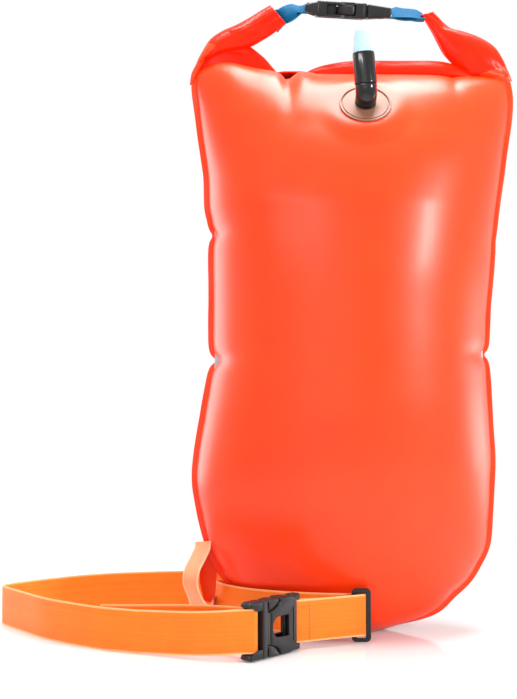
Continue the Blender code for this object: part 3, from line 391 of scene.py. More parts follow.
def strap_material(name, deep, pale, edge, half_width, rib=0.0026, pick=0.0011, rough=0.52, shine=0.3):
    material, tree, shader, node = blank_material(name, WEAVE_GROUP, "UV")
    node.inputs["Half Width"].default_value = half_width
    node.inputs["Rib Pitch"].default_value = rib
    node.inputs["Pick Pitch"].default_value = pick
    body = mixed_colour(tree, node.outputs["Tone"], linear(deep), linear(pale))
    # The hollows between the yarns are painted darker: painted shade in the weave's recesses.
    yarn_gap_shade = tuple(part * 0.78 for part in linear(deep)[:3]) + (1.0,)
    woven = mixed_colour(tree, ramp(tree, node.outputs["Yarn"], 0.0, 0.45), yarn_gap_shade, body)
    # Towards both edges the colour turns to the paler edge colour: a painted highlight on the strap's rims.
    colour = mixed_colour(tree, sums(tree, "MULTIPLY", node.outputs["Selvedge And Highlight"], 0.8), woven, linear(edge))
    tree.links.new(colour, shader.inputs["Base Color"])
    roughness = sums(tree, "SUBTRACT", rough, sums(tree, "MULTIPLY", node.outputs["Yarn"], 0.14))
    tree.links.new(roughness, shader.inputs["Roughness"])
    shader.inputs["Sheen Weight"].default_value = 0.08
    shader.inputs["Sheen Roughness"].default_value = 0.4
    shader.inputs["Specular IOR Level"].default_value = shine
    bump(tree, shader, node.outputs["Height"], 0.4, 0.0003)
    return material


def moulded_material(
    name, colour, worn, rough, texture=0.2, scuffs=0.5, rub=0.6, coat=0.0, metal=0.0, shine=0.5
):
    material, tree, shader, node = blank_material(name, MOULDED_GROUP, "Object")
    shape = tree.nodes.new("ShaderNodeNewGeometry")
    tree.links.new(shape.outputs["Pointiness"], node.inputs["Edge"])
    node.inputs["Scuffs"].default_value = scuffs
    node.inputs["Rub"].default_value = rub
    shade = mixed_colour(tree, node.outputs["Scuff"], linear(colour), tuple(
        part * 1.35 + 0.004 for part in linear(colour)[:3]) + (1.0,))
    tree.links.new(mixed_colour(tree, node.outputs["Wear"], shade, linear(worn)), shader.inputs["Base Color"])
    roughness = sums(tree, "ADD", sums(tree, "MULTIPLY", node.outputs["Scuff"], 0.22), rough)
    tree.links.new(roughness, shader.inputs["Roughness"])
    shader.inputs["Coat Weight"].default_value = coat
    shader.inputs["Coat Roughness"].default_value = 0.05
    shader.inputs["Metallic"].default_value = metal
    shader.inputs["Specular IOR Level"].default_value = shine
    bump(tree, shader, node.outputs["Height"], texture, 0.0002)
    return material


BAG_FILM = film_material("bag_film", (255, 57, 8), (255, 67, 13), 0.36, 0.08)
EAR_FILM = film_material("rolled_film", (255, 24, 1), (255, 46, 6), 0.32, 0.08, 0.3, 0.5, 0.12)
INNER_FILM = film_material("inner_film", (176, 176, 178), (200, 200, 202), 0.5, 0.1)
DISC_FILM = film_material("valve_disc_film", (120, 74, 54), (158, 112, 90), 0.38, 0.10, 0.1, 0.3, 0.15)
TAB_FILM = film_material("tab_film", (250, 66, 10), (255, 84, 20), 0.4, 0.1)
# Each strap's third colour is its paler edge colour, a painted highlight on its rims.
BELT_WEAVE = strap_material("belt_weave", (255, 118, 12), (255, 138, 28), (255, 196, 134), 0.019)
LEASH_WEAVE = strap_material("leash_weave", (255, 150, 92), (255, 176, 124), (255, 214, 180), 0.0125)
BLUE_WEAVE = strap_material(
    "blue_weave", (2, 72, 108), (8, 92, 134), (30, 118, 160), 0.015, 0.0022, 0.0010, 0.66, 0.04
)
THREAD = strap_material("stitch_thread", (214, 96, 30), (232, 120, 50), (240, 150, 90), 0.02, 0.0006, 0.0006)
BUCKLE_PLASTIC = moulded_material(
    "buckle_plastic", (26, 27, 29), (84, 85, 88), 0.36, 0.15, 0.5, 0.35, shine=0.28
)
VALVE_BLACK = moulded_material(
    "valve_black", (12, 12, 14), (52, 52, 56), 0.12, 0.03, 0.25, 0.2, coat=0.4, shine=0.25
)
MOUTH_PALE = moulded_material("mouth_pale", (176, 212, 232), (214, 234, 244), 0.26, 0.05, 0.2, 0.3, 0.3)
STIFFENER = moulded_material("stiffener_strip", (196, 196, 192), (230, 230, 228), 0.45, 0.2)
STEEL = moulded_material("spring_wire", (168, 170, 174), (210, 212, 216), 0.28, 0.1, 0.4, 0.3, 0.0, 1.0)


# Shared shapes
def through(points, count):
    """Evenly spaced points on a smooth curve through the given ones, extra columns carried along."""
    fixed = np.array(points, float)
    ends = np.vstack([2 * fixed[0] - fixed[1], fixed, 2 * fixed[-1] - fixed[-2]])
    dense = []
    for a, b, c, d in zip(ends, ends[1:], ends[2:], ends[3:]):
        for t in np.linspace(0, 1, 12, endpoint=False):
            curve = 2 * b + (c - a) * t + (2 * a - 5 * b + 4 * c - d) * t**2
            dense.append(0.5 * (curve + (3 * b - a - 3 * c + d) * t**3))
    dense = np.array([*dense, fixed[-1]])
    steps = np.linalg.norm(np.diff(dense[:, :3], axis=0), axis=1)
    along = np.concatenate([[0], np.cumsum(steps)])
    at = np.linspace(0, along[-1], count)
    return np.column_stack([np.interp(at, along, column) for column in dense.T])


def ease(value, low, high):
    share = np.clip((value - low) / (high - low), 0, 1)
    return share * share * (3 - 2 * share)


def ripple(x, y, z, size, seed=0.0):
    """Smooth noise from -1 to 1, with lumps about as large as size."""
    return noise.noise(Vector((x / size + seed, y / size + seed * 1.7, z / size - seed)))


def in_mm(*points):
    """Places given in millimetres, in metres."""
    return [tuple(part * MM for part in point) for point in points]


def made_mesh(name, points, faces, material, uvs=None, smooth=True):
    mesh = bpy.data.meshes.new(name)
    mesh.from_pydata([tuple(point) for point in points], [], faces)
    if uvs is not None:
        layer = mesh.uv_layers.new(name="UVMap")
        corners = np.array([loop.vertex_index for loop in mesh.loops])
        layer.data.foreach_set("uv", np.array(uvs, np.float32)[corners].ravel())
    mesh.materials.append(material)
    obj = bpy.data.objects.new(name, mesh)
    bpy.context.scene.collection.objects.link(obj)
    if smooth:
        mesh.shade_smooth()
    return obj


def grid_faces(rows, columns, closed=False, start=0):
    faces = []
    wide = columns if closed else columns - 1
    for row in range(rows - 1):
        for column in range(wide):
            following = (column + 1) % columns
            a, b = start + row * columns + column, start + row * columns + following
            faces.append((a, b, b + columns, a + columns))
    return faces


def only(obj):
    bpy.ops.object.select_all(action="DESELECT")
    obj.select_set(True)
    bpy.context.view_layer.objects.active = obj


def apply_all(obj):
    only(obj)
    for modifier in list(obj.modifiers):
        bpy.ops.object.modifier_apply(modifier=modifier.name)


def outward(obj):
    only(obj)
    bpy.ops.object.mode_set(mode="EDIT")
    bpy.ops.mesh.select_all(action="SELECT")
    bpy.ops.mesh.normals_make_consistent(inside=False)
    bpy.ops.object.mode_set(mode="OBJECT")


def thicken(obj, thickness, offset=-1.0):
    modifier = obj.modifiers.new("thickness", "SOLIDIFY")
    modifier.thickness = thickness
    modifier.offset = offset
    modifier.use_rim = True
    apply_all(obj)


def finish_piece(obj, body, slot, *nodes):
    only(obj)
    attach(obj, body)
    if nodes:
        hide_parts(*nodes)
    return obj


# The bag
# Height, left and right edge and depth of the swelling film, in millimetres
BAG_ROWS = (
    (0.7, -40, 36, 25), (2.5, -47, 44, 29), (6, -58, 55, 33), (13, -75, 76, 40), (22, -90, 92, 44),
    (34, -102, 104, 49), (48, -115, 119, 55), (62, -125, 128, 62), (81, -133, 137, 71),
    (107, -140, 140, 81), (140, -146, 142, 90), (168, -145, 143, 95), (209, -138.5, 141, 98),
    (250, -132, 139, 98), (300, -130.5, 139, 98), (347, -130.5, 143, 98), (396, -132, 147.5, 96),
    (414, -134.5, 149.5, 94.5), (444, -135.5, 154, 88.5), (465, -138.5, 157, 82),
    (482, -141.5, 159.5, 74), (495, -143.5, 161.5, 67.5), (510, -145.5, 163, 57),
    (521, -147, 163.5, 46.5), (529, -147.5, 163, 36.5), (535, -147.5, 162, 26), (539, -147, 161, 14),
    (541, -147, 160, 0),
)
# The welded top edge's place over or under the bag's top, in millimetres
TOP_LINE = (
    (-160, 2), (-152, 4), (-146, 9.5), (-140, 14), (-130, 18), (-120, 19), (-110, 18), (-98, 14.5),
    (-85, 11.5), (-72, 9), (-63.6, 6), (-57.5, -0.5), (-52, 3), (-46, 7.5), (-40, 8), (-34, 6.8),
    (-28, 5.2), (20, 5), (75, 5), (94, 4.6), (101, 3.6), (106, 2.2), (112, 3.8), (122, 4.6), (136, 4.4),
    (152, 3), (164, -1),
)
# Creases of the front film: both ends, half width and depth, in millimetres
CREASES = (
    ((-127, 262), (-98, 272), 3.6, 1.5), ((-128, 260), (-104, 250), 3.2, 0.8),
    ((-128, 264), (-112, 288), 3.6, 0.6), ((136, 268), (116, 276), 3.6, 1.2),
    ((137, 267), (118, 256), 3.2, 0.6), ((-130, 386), (-112, 391), 3.4, 0.8),
    ((-57.5, 541), (-55, 512), 4.6, 2.8), ((-57.5, 539), (-67, 522), 3.6, 1.2),
    ((-57, 540), (-46, 530), 3, 1), ((161, 529), (130, 517), 4.6, 1.5),
    ((-144, 541), (-134, 524), 4, 1.3), ((106, 538), (104, 524), 3.2, 0.9),
    ((-40, 9), (-28, 30), 3.6, 0.8), ((44, 8), (32, 28), 3.6, 0.8),
)
# Height, reach and depth of the pinches in the left and the right edge, in millimetres
LEFT_PINCHES = ((262, 7.0, 8.2), (386, 7.5, 4.6))
RIGHT_PINCHES = ((268, 6.5, 5.6), (381, 9.0, 0.8))
ROWS, COLUMNS = 150, 104
SWELL = 0.62
BACK_SHARE = 0.96
SEAM_HALF = 0.9 * MM


def row_values():
    """The bag's rows drawn out smoothly, closer together near the floor and near the top."""
    table = np.array(BAG_ROWS, float)
    heights = table[:, 0]
    flat = np.zeros(len(table))
    smooth = through(np.column_stack([heights, table[:, 3], flat, table[:, 1:3]]), 1200)
    profile = smooth[:, :2]
    steps = np.concatenate([[0], np.cumsum(np.linalg.norm(np.diff(profile, axis=0), axis=1))])
    at = np.linspace(0, steps[-1], ROWS)
    columns = [np.interp(at, steps, smooth[:, index]) for index in (0, 3, 4, 1)]
    return np.column_stack(columns) * MM


def top_line(x, side=-1):
    """The top edge's rise. The back wall's edge runs straight on behind the front wall's notch."""
    table = np.array(TOP_LINE, float) * MM
    line = np.interp(x, table[:, 0], table[:, 1])
    behind = np.interp(x, (-0.076, -0.062, -0.042, -0.032), (0, 1, 1, 0)) if side > 0 else 0.0
    return line + behind * (10.4 * MM - line)


def weld_wave(x, z, side):
    """How far the weld stands forward or back of the middle, since a welded edge never lies flat."""
    return 0.9 * MM * ripple(x, side * 0.01, z, 0.045, 3.1) * float(ease(z, 0.03, 0.12))


def edge_pinch(z, hand):
    """How far the left or right edge is drawn in at a height."""
    pinches = LEFT_PINCHES if hand < 0 else RIGHT_PINCHES
    total = 0.0
    for height, reach, depth in pinches:
        total += depth * MM / (1 + ((z - height * MM) / (reach * MM)) ** 2) ** 1.4
    return total


def wall_points(side):
    depth_share = 1.0 if side < 0 else BACK_SHARE
    rows = row_values()
    points = np.zeros((ROWS, COLUMNS, 3))
    spread = np.sin(np.pi * (np.linspace(0, 1, COLUMNS) - 0.5))
    swell = (1 - spread**2) ** SWELL
    for row, (z, left, right, depth) in enumerate(rows):
        x = (left + right) / 2 + spread * (right - left) / 2
        x += np.where(spread < 0, edge_pinch(z, -1) * spread**10, -edge_pinch(z, 1) * spread**10)
        lift = top_line(x, side) * ease(z, 0.455, BAG_TOP)
        points[row, :, 0] = x
        points[row, :, 1] = side * (SEAM_HALF + depth * depth_share * swell)
        points[row, :, 2] = z + lift
    points[-1, :, 1] = side * SEAM_HALF
    return points


def crease_depth(x, z, mirror):
    total = 0.0
    for (x0, z0), (x1, z1), half, depth in CREASES:
        a, b = np.array((x0, z0)) * MM, np.array((x1, z1)) * MM
        if mirror:
            bow = 0.006 * math.sin(z0)
            a, b = a + (0, bow), b - (0, bow)
        along = np.clip(((x - a[0]) * (b[0] - a[0]) + (z - a[1]) * (b[1] - a[1])) / ((b - a) @ (b - a)), 0, 1)
        away = math.hypot(x - a[0] - along * (b[0] - a[0]), z - a[1] - along * (b[1] - a[1]))
        widening = half * MM * (0.5 + along)
        total += depth * MM * math.exp(-((away / widening) ** 2)) * (1 - along) ** 1.2
    return total


def wrinkle_wall(points, side):
    """Puckers along the side welds, the creases, and the slight unevenness of blown-up film."""
    for row in range(1, ROWS - 1):
        left, right = points[row, 0, 0], points[row, -1, 0]
        for column in range(1, COLUMNS - 1):
            x, _, z = points[row, column]
            edge = min(x - left, right - x)
            near = math.exp(-edge / 0.017)
            pucker = math.sin(z / 0.0052 + 3.2 * ripple(x * 0.2, side, z, 0.05, 1.3))
            pucker *= 0.28 * MM * near * (1 - math.exp(-edge / 0.004))
            pucker *= 0.6 + 0.8 * ripple(0, side, z, 0.06, 7.7)
            top_gap = max(BAG_TOP + float(top_line(x)) - z, 0.0)
            fold = math.sin(x / 0.0068 + 2.6 * ripple(x, side, 0, 0.04, 5.1))
            fold *= 0.45 * MM * math.exp(-top_gap / 0.014) * (1 - math.exp(-top_gap / 0.005))
            uneven = 1.1 * MM * ripple(x, side * 0.4, z, 0.12, 2.2)
            uneven += 0.12 * MM * ripple(x, side, z, 0.035, 9.4)
            calm = float(ease(z, 0.002, 0.03)) * (1 - math.exp(-edge / 0.012))
            move = (pucker + fold + uneven * (1 - math.exp(-top_gap / 0.02))) * calm
            points[row, column, 1] += side * (move - crease_depth(x, z, side > 0) * calm)
    for row in range(ROWS):
        for column in (0, COLUMNS - 1):
            x, _, z = points[row, column]
            points[row, column, 1] += weld_wave(x, z, side)


def inflate(obj, fixed, grown, growth, cap):
    """A short run of cloth under pressure. It bulges and puckers the film, with each move capped."""
    rest = np.array([vertex.co for vertex in obj.data.vertices])
    pinned = obj.vertex_groups.new(name="pinned")
    pinned.add([int(index) for index in fixed], 1.0, "REPLACE")
    slack = obj.vertex_groups.new(name="slack")
    for index, weight in grown:
        slack.add([int(index)], float(weight), "REPLACE")
    modifier = obj.modifiers.new("inflated", "CLOTH")
    settings = modifier.settings
    settings.quality = 6
    settings.mass = 0.25
    settings.air_damping = 2.0
    settings.tension_stiffness = 22
    settings.compression_stiffness = 22
    settings.shear_stiffness = 9
    settings.bending_stiffness = 0.35
    settings.use_pressure = True
    settings.uniform_pressure_force = 4.0
    settings.vertex_group_mass = "pinned"
    settings.vertex_group_shrink = "slack"
    settings.shrink_min = 0.0
    settings.shrink_max = -growth
    settings.effector_weights.gravity = 0
    modifier.collision_settings.use_collision = False
    scene = bpy.context.scene
    scene.frame_start = 1
    scene.frame_end = 20
    for number in range(1, 21):
        scene.frame_set(number)
    evaluated = obj.evaluated_get(bpy.context.evaluated_depsgraph_get())
    moved = np.array([vertex.co for vertex in evaluated.data.vertices])
    obj.modifiers.remove(modifier)
    scene.frame_set(1)
    move = moved - rest
    size = np.linalg.norm(move, axis=1, keepdims=True)
    move *= np.minimum(1.0, cap / np.maximum(size, 1e-9))
    obj.data.vertices.foreach_set("co", (rest + move).astype(np.float32).ravel())
    obj.data.update()
    obj.vertex_groups.clear()


VALVE_SEAT = Vector((0.015, -0.06663, 0.50097))
VALVE_OUT = Vector((0, -0.81915, 0.57358))
DISC_RADIUS = 24.5 * MM


def seat_under_disc(obj):
    """Presses the film flat behind the valve's disc, and fairs it out around it."""
    for vertex in obj.data.vertices:
        offset = vertex.co - VALVE_SEAT
        height = offset.dot(VALVE_OUT)
        away = (offset - height * VALVE_OUT).length
        if away < 0.06 and vertex.co.y < 0:
            target = -0.3 * MM
            keep = float(ease(away, DISC_RADIUS + 1.5 * MM, 46 * MM))
            vertex.co -= VALVE_OUT * (height - target) * (1 - keep)


def bag_wall(name, side, node):
    points = wall_points(side)
    wrinkle_wall(points, side)
    flat = points.reshape(-1, 3)
    faces = grid_faces(ROWS, COLUMNS)
    seam_row = len(flat)
    seam = []
    for column in range(COLUMNS):
        x, y, z = points[0, column]
        seam.append((x, side * 0.2 * MM + (y - side * SEAM_HALF) * 0.25, 0.7 * MM))
    flat = np.vstack([flat, np.array(seam)])
    for column in range(COLUMNS - 1):
        faces.append((seam_row + column, seam_row + column + 1, column + 1, column))
    obj = made_mesh(name, flat, faces, BAG_FILM)
    outward(obj)
    fixed = [index for index in range(seam_row + COLUMNS) if index >= seam_row or index < COLUMNS * 3]
    fixed += [row * COLUMNS + column for row in range(ROWS) for column in (0, COLUMNS - 1)]
    fixed += list(range((ROWS - 1) * COLUMNS, ROWS * COLUMNS))
    grown = []
    for row in range(ROWS):
        left, right = points[row, 0, 0], points[row, -1, 0]
        for column in range(COLUMNS):
            x, _, z = points[row, column]
            edge = min(x - left, right - x, BAG_TOP + 10 * MM - z)
            weight = math.exp(-max(edge, 0) / 0.03)
            if weight > 0.02:
                grown.append((row * COLUMNS + column, weight))
    inflate(obj, sorted(set(fixed)), grown, 0.03, 3.5 * MM)
    if side < 0:
        seat_under_disc(obj)
    facing = sum(face.normal.y * face.area for face in obj.data.polygons)
    if facing * side < 0:
        obj.data.flip_normals()
    thicken(obj, FILM, -1.0)
    return finish_piece(obj, "root", "bag_pvc", node)


def weld_flange(name, hand):
    """The welded border down one side of the bag and round its bottom corner."""
    rows = row_values()
    edge = rows[:, 1] if hand < 0 else rows[:, 2]
    edge = edge - hand * np.array([edge_pinch(z, hand) for z in rows[:, 0]])
    line = through(np.column_stack([edge, rows[:, 0], np.zeros(len(edge))]), 230)[:, :2]
    count, across = len(line), 9
    points, uvs = [], []
    for index, (x, z) in enumerate(line):
        before, after = line[max(index - 3, 0)], line[min(index + 3, count - 1)]
        along = (after - before) / np.linalg.norm(after - before)
        out = np.array((along[1], -along[0]))
        if out[0] * hand < 0:
            out = -out
        width = 4.8 * MM * float(ease(z, -0.004, 0.022)) + 0.3 * MM * ripple(x, 0, z, 0.02, 4.4)
        width -= 1.2 * MM * edge_pinch(z, hand) / (8 * MM)
        lift = float(top_line(x)) * float(ease(z, 0.455, BAG_TOP))
        for step in range(across):
            share = step / (across - 1)
            reach = -1.6 * MM + (width + 1.6 * MM) * share
            flutter = math.sin(z / 0.013 + 2 * ripple(x, 1, z, 0.05, 6.2))
            wave = weld_wave(x, z, 0) + 0.4 * MM * share**2 * flutter
            px, pz = x + out[0] * reach, max(z + lift + out[1] * reach, 0.4 * MM)
            points.append((px, wave, pz))
            uvs.append((index * 0.003, reach))
    obj = made_mesh(name, points, grid_faces(count, across), BAG_FILM, uvs)
    thicken(obj, 1.3 * MM, 0.0)
    return finish_piece(obj, "root", "bag_pvc")


def inner_wall(name, side, node):
    """One slack wall of the empty dry compartment inside the bag."""
    rows = row_values()[6:-2:3]
    columns = 34
    points = []
    for z, left, right, _ in rows:
        for step in range(columns):
            share = step / (columns - 1)
            x = left + (right - left) * (0.01 + 0.98 * share)
            belly = math.sin(math.pi * share) ** 0.5 * float(ease(z, 0.02, 0.08))
            belly *= float(ease(BAG_TOP - z, 0.0, 0.05))
            fold = 1.1 * MM * ripple(x, side, z, 0.035, 8.2) + 1.4 * MM * ripple(x, side, z * 0.4, 0.05, 1.9)
            points.append((x, side * (1.0 * MM + belly * (2.4 * MM + fold)), z))
    obj = made_mesh(name, points, grid_faces(len(rows), columns), INNER_FILM)
    facing = sum(face.normal.y * face.area for face in obj.data.polygons)
    if facing * side < 0:
        obj.data.flip_normals()
    thicken(obj, 0.5 * MM, -1.0)
    return finish_piece(obj, "root", "liner_film", node)


def make_bag():
    bag_wall("bag_front_wall", -1, "bag_front_skin")
    bag_wall("bag_back_wall", 1, "bag_back_skin")
    weld_flange("weld_flange_left", -1)
    weld_flange("weld_flange_right", 1)
    inner_wall("dry_wall_front", -1, "dry_liner_front")
    inner_wall("dry_wall_back", 1, "dry_liner_back")


# Rolled mouth and its two ears
def as_seen(x, y, z):
    """Moves a place measured in the middle plane to its own depth, along the camera's line of sight."""
    ratio = (y - CAMERA_PLACE[1]) / -CAMERA_PLACE[1]
    return (
        CAMERA_PLACE[0] + (x - CAMERA_PLACE[0]) * ratio,
        y,
        CAMERA_PLACE[2] + (z - CAMERA_PLACE[2]) * ratio,
    )


def film_tube(name, stations, material, creases=(), sides=56, rows=110):
    """A flattened tube of film. A station is its outer and inner edge in X and Z, its half
    thickness, its place in Y and how far its front is puffed, all in millimetres. A crease is its
    two ends in X and Z, its half width and its depth."""
    drawn = through([(s[0], s[1], 0, *s[2:]) for s in stations], rows) * MM
    points, uvs = [], []
    for row, (ox, oz, _, ix, iz, half, middle, puff) in enumerate(drawn):
        share = row / (rows - 1)
        for step in range(sides):
            angle = 2 * math.pi * step / sides
            cosine, sine = math.cos(angle), math.sin(angle)
            across = (1 - math.copysign(abs(cosine) ** 0.85, cosine)) / 2
            x, z = ox + (ix - ox) * across, oz + (iz - oz) * across
            front = max(0.0, -sine)
            y = middle + half * math.copysign(abs(sine) ** 0.8, sine) - puff * front**2
            y += 0.7 * MM * ripple(x, front, z, 0.022, 3.3) * abs(sine)
            for (x0, z0), (x1, z1), width, depth in creases:
                a, b = np.array((x0, z0)) * MM, np.array((x1, z1)) * MM
                along = ((x - a[0]) * (b[0] - a[0]) + (z - a[1]) * (b[1] - a[1])) / ((b - a) @ (b - a))
                along = min(max(along, 0.0), 1.0)
                away = math.hypot(x - a[0] - along * (b[0] - a[0]), z - a[1] - along * (b[1] - a[1]))
                dent = math.exp(-((away / (width * MM * (0.55 + 0.9 * along))) ** 2)) * (1 - along) ** 0.8
                y += depth * MM * dent * front**0.5
            points.append(as_seen(x, y, z))
            uvs.append((share, across))
    obj = made_mesh(name, points, grid_faces(rows, sides, True), material, uvs)
    outward(obj)
    thicken(obj, 0.8 * MM, -1.0)
    return obj


LEFT_BAND = (
    (-154, 537, -149, 541, 1.6, 0.5, 0), (-152.5, 548, -144, 552, 3.6, 0.5, 0),
    (-148.5, 557, -139, 561, 6, 0.5, 0.5), (-143.5, 568, -132, 566, 8.5, 0, 1),
    (-134, 583, -118, 570, 10, 0, 1.5), (-121.5, 592, -104, 572.5, 10.5, 0, 1),
    (-108, 598, -92, 576, 10, 0, 0.8), (-95, 605, -82, 581.5, 8.5, 0, 0.5),
    (-84, 612, -70.5, 589, 7.5, 0, 0), (-73.5, 618, -57.5, 599, 7, 0, 0),
)
LEFT_BAND_CREASES = (
    ((-142, 560), (-127, 573.5), 2, 3.2), ((-138, 562), (-110, 573), 2.2, 2.2),
    ((-117, 571), (-98, 575), 1.8, 1.2), ((-112, 593), (-92, 598), 4, -1.6),
    ((-66, 607), (-96, 590), 3, 1.4), ((-62, 601), (-84, 589), 2.4, 1),
    ((-141, 570), (-126, 584), 4, -1.2),
)
LEFT_FLAP = (
    (-152, 539, -57, 530, 1.8, 0.5, 0), (-150.5, 545, -61, 541.5, 3, 1, 0),
    (-147.5, 551, -66.5, 549, 4.2, 1.5, 0.5), (-144, 558, -73, 557, 5.2, 2, 0.8),
    (-139.5, 566, -79.5, 564.5, 6, 2, 0.5), (-133.5, 573, -87, 571, 6.5, 2, 0),
    (-127, 579, -95, 577, 6, 2, 0), (-120, 584, -102, 582, 4.5, 2, 0),
)
LEFT_FLAP_CREASES = (
    ((-58, 540), (-84, 560), 2.4, 1.2), ((-112, 571), (-84, 566), 2.6, 1.6),
    ((-92, 574), (-74, 553), 3.2, -1), ((-100, 572), (-92, 556), 3.4, 1),
)
RIGHT_EAR = (
    (167.5, 541, 104, 541.5, 2, 1, 0), (166.3, 545, 112, 544.5, 3.5, 0.5, 0.5),
    (163.8, 551, 116, 550.5, 6.5, 0, 1.5), (159, 562.5, 106, 560, 9, 0, 2.5),
    (152, 574, 99, 568, 10.5, 0, 2.5), (143.5, 581, 94.5, 576, 10.5, 0, 2),
    (132, 587, 90.5, 584, 10, 0, 1.5), (119, 591.5, 87, 591, 9, 0, 1),
    (107.5, 594.5, 84, 596, 8, 0, 0.5), (100, 600, 81.5, 600.5, 7.5, 0, 0),
    (94.5, 606, 79, 604.5, 7, 0, 0), (89, 611.5, 76.8, 607.5, 6.5, 0, 0),
)
RIGHT_EAR_CREASES = (
    ((162, 546), (150, 562), 2, 2.6), ((160, 547), (136, 556), 2, 2.4),
    ((158, 545), (134, 546), 2.4, 1.2), ((118, 546), (130, 545), 2.6, 1.6),
    ((121, 556), (118, 584), 5, -1.2), ((130, 552), (136, 574), 4, 1), ((80, 608), (97, 590), 1.5, 1.8),
    ((85, 610), (104, 594), 1.4, 1.6), ((78, 605), (90, 586), 1.4, 1.2),
)


def in_pale_corner(x, z):
    """Whether a place on the left band is the bag's own film, folded up under the red mouth."""
    under_mouth = z < 0.578 - 0.45 * (x + 0.1368)
    over_crease = z > 0.5624 + 0.888 * (x + 0.1393)
    return under_mouth and (over_crease or x < -0.1393)


def make_ears():
    band = film_tube("ear_left_band", LEFT_BAND, EAR_FILM, LEFT_BAND_CREASES)
    band.data.materials.append(BAG_FILM)
    for face in band.data.polygons:
        face.material_index = int(in_pale_corner(face.center.x, face.center.z))
    finish_piece(band, "root", "roll_pvc", "roll_ear_left")
    flap = film_tube("ear_left_flap", LEFT_FLAP, EAR_FILM, LEFT_FLAP_CREASES)
    finish_piece(flap, "root", "roll_pvc")
    ear = film_tube("ear_right", RIGHT_EAR, EAR_FILM, RIGHT_EAR_CREASES)
    ear.data.materials.append(BAG_FILM)
    for face in ear.data.polygons:
        x, z = face.center.x, face.center.z
        face.material_index = int(x > 0.1337 and z < 0.546 + 0.345 * (x - 0.1337))
    finish_piece(ear, "root", "roll_pvc", "roll_ear_right")


def make_roll():
    """The mouth rolled over its stiffener: a spiral drawn along its length, dying into the ears."""
    columns, sides = 90, 84
    tops = through(
        [(-46, 542, 0), (-38, 550, 0), (-27, 555.5, 0), (-14, 559, 0), (6, 562, 0), (28, 562.5, 0),
         (51, 562.5, 0), (72, 562.5, 0), (94, 562, 0), (108, 559, 0), (124, 553, 0), (140, 546, 0)],
        columns,
    ) * MM
    points, uvs = [], []
    turns = 1.72
    for x, top, _ in tops:
        outer, inner = [], []
        low = 541.5 * MM
        half_height = max((top - low) / 2, 1.2 * MM)
        centre = top - half_height
        half_depth = 0.0098 * float(ease(half_height, 0.001, 0.0115)) + 0.001
        for step in range(sides // 2):
            angle = 2 * math.pi * turns * step / (sides // 2 - 1) + math.pi * 0.62
            shrink = 1 - 0.24 * turns * step / (sides // 2 - 1)
            wobble = 1 + 0.03 * ripple(x, step * 0.11, 0, 0.02, 2.0)
            for thick, row in ((0.0, outer), (0.0008, inner)):
                y = (half_depth * shrink - thick) * math.cos(angle) * wobble
                z = centre + (half_height * shrink - thick) * math.sin(angle) * wobble
                row.append(as_seen(x, y, z))
        ring = [*outer, *reversed(inner)]
        points += ring
        uvs += [(x, index / sides) for index in range(sides)]
    faces = grid_faces(columns, sides, True)
    obj = made_mesh("rolled_mouth", points, faces, EAR_FILM, uvs)
    only(obj)
    bpy.ops.object.mode_set(mode="EDIT")
    bpy.ops.mesh.select_all(action="DESELECT")
    bpy.ops.mesh.select_non_manifold()
    bpy.ops.mesh.edge_face_add()
    bpy.ops.object.mode_set(mode="OBJECT")
    outward(obj)
    finish_piece(obj, "root", "roll_pvc", "roll_band")

    low, high = in_mm((-8, -0.9, 549.5), (98, 0.9, 556.5))
    strip = start_box("mouth_stiffener", low, high, 0.5 * MM, 2, STIFFENER)
    settle(strip, Matrix.Identity(4))
    finish_piece(strip, "root", "stiffener_plastic", "roll_stiffener")


# Straps
def strap(name, route, half_width, thickness, material, segments=12):
    """A woven strap. A route point is its place, the direction across it and how wide it is there."""
    ring = []
    for step in range(segments + 1):
        ring.append((-1 + 2 * step / segments, -1))
    ring = [(v, -0.5) for v, _ in ring] + [(v, 0.5) for v, _ in reversed(ring)]
    points, uvs = [], []
    along = 0.0
    for index, (place, across, width) in enumerate(route):
        before, after = route[max(index - 1, 0)][0], route[min(index + 1, len(route) - 1)][0]
        heading = (after - before).normalized()
        if index:
            along += (place - route[index - 1][0]).length
        side = (across - across.dot(heading) * heading).normalized()
        normal = heading.cross(side)
        for v, face in ring:
            rounding = math.sqrt(max(0.0, 1 - max(0.0, (abs(v) - 0.93) / 0.07) ** 2 * 0.75))
            rib = 1.0 + (0.10 if 0.9 < abs(v) < 0.99 else 0.0)
            point = place + side * (v * half_width * width) + normal * (face * thickness * rounding * rib)
            points.append(point)
            uvs.append((along, v * half_width))
    sides = len(ring)
    faces = grid_faces(len(route), sides, True)
    last = (len(route) - 1) * sides
    for start, flip in ((0, True), (last, False)):
        for step in range(segments):
            a, b = start + step, start + step + 1
            c, d = start + sides - 2 - step, start + sides - 1 - step
            faces.append((a, d, c, b) if flip else (a, b, c, d))
    obj = made_mesh(name, points, faces, material, uvs)
    outward(obj)
    only(obj)
    bpy.ops.object.shade_smooth_by_angle(angle=math.radians(50))
    return obj


UP = Vector((0, 0, 1))
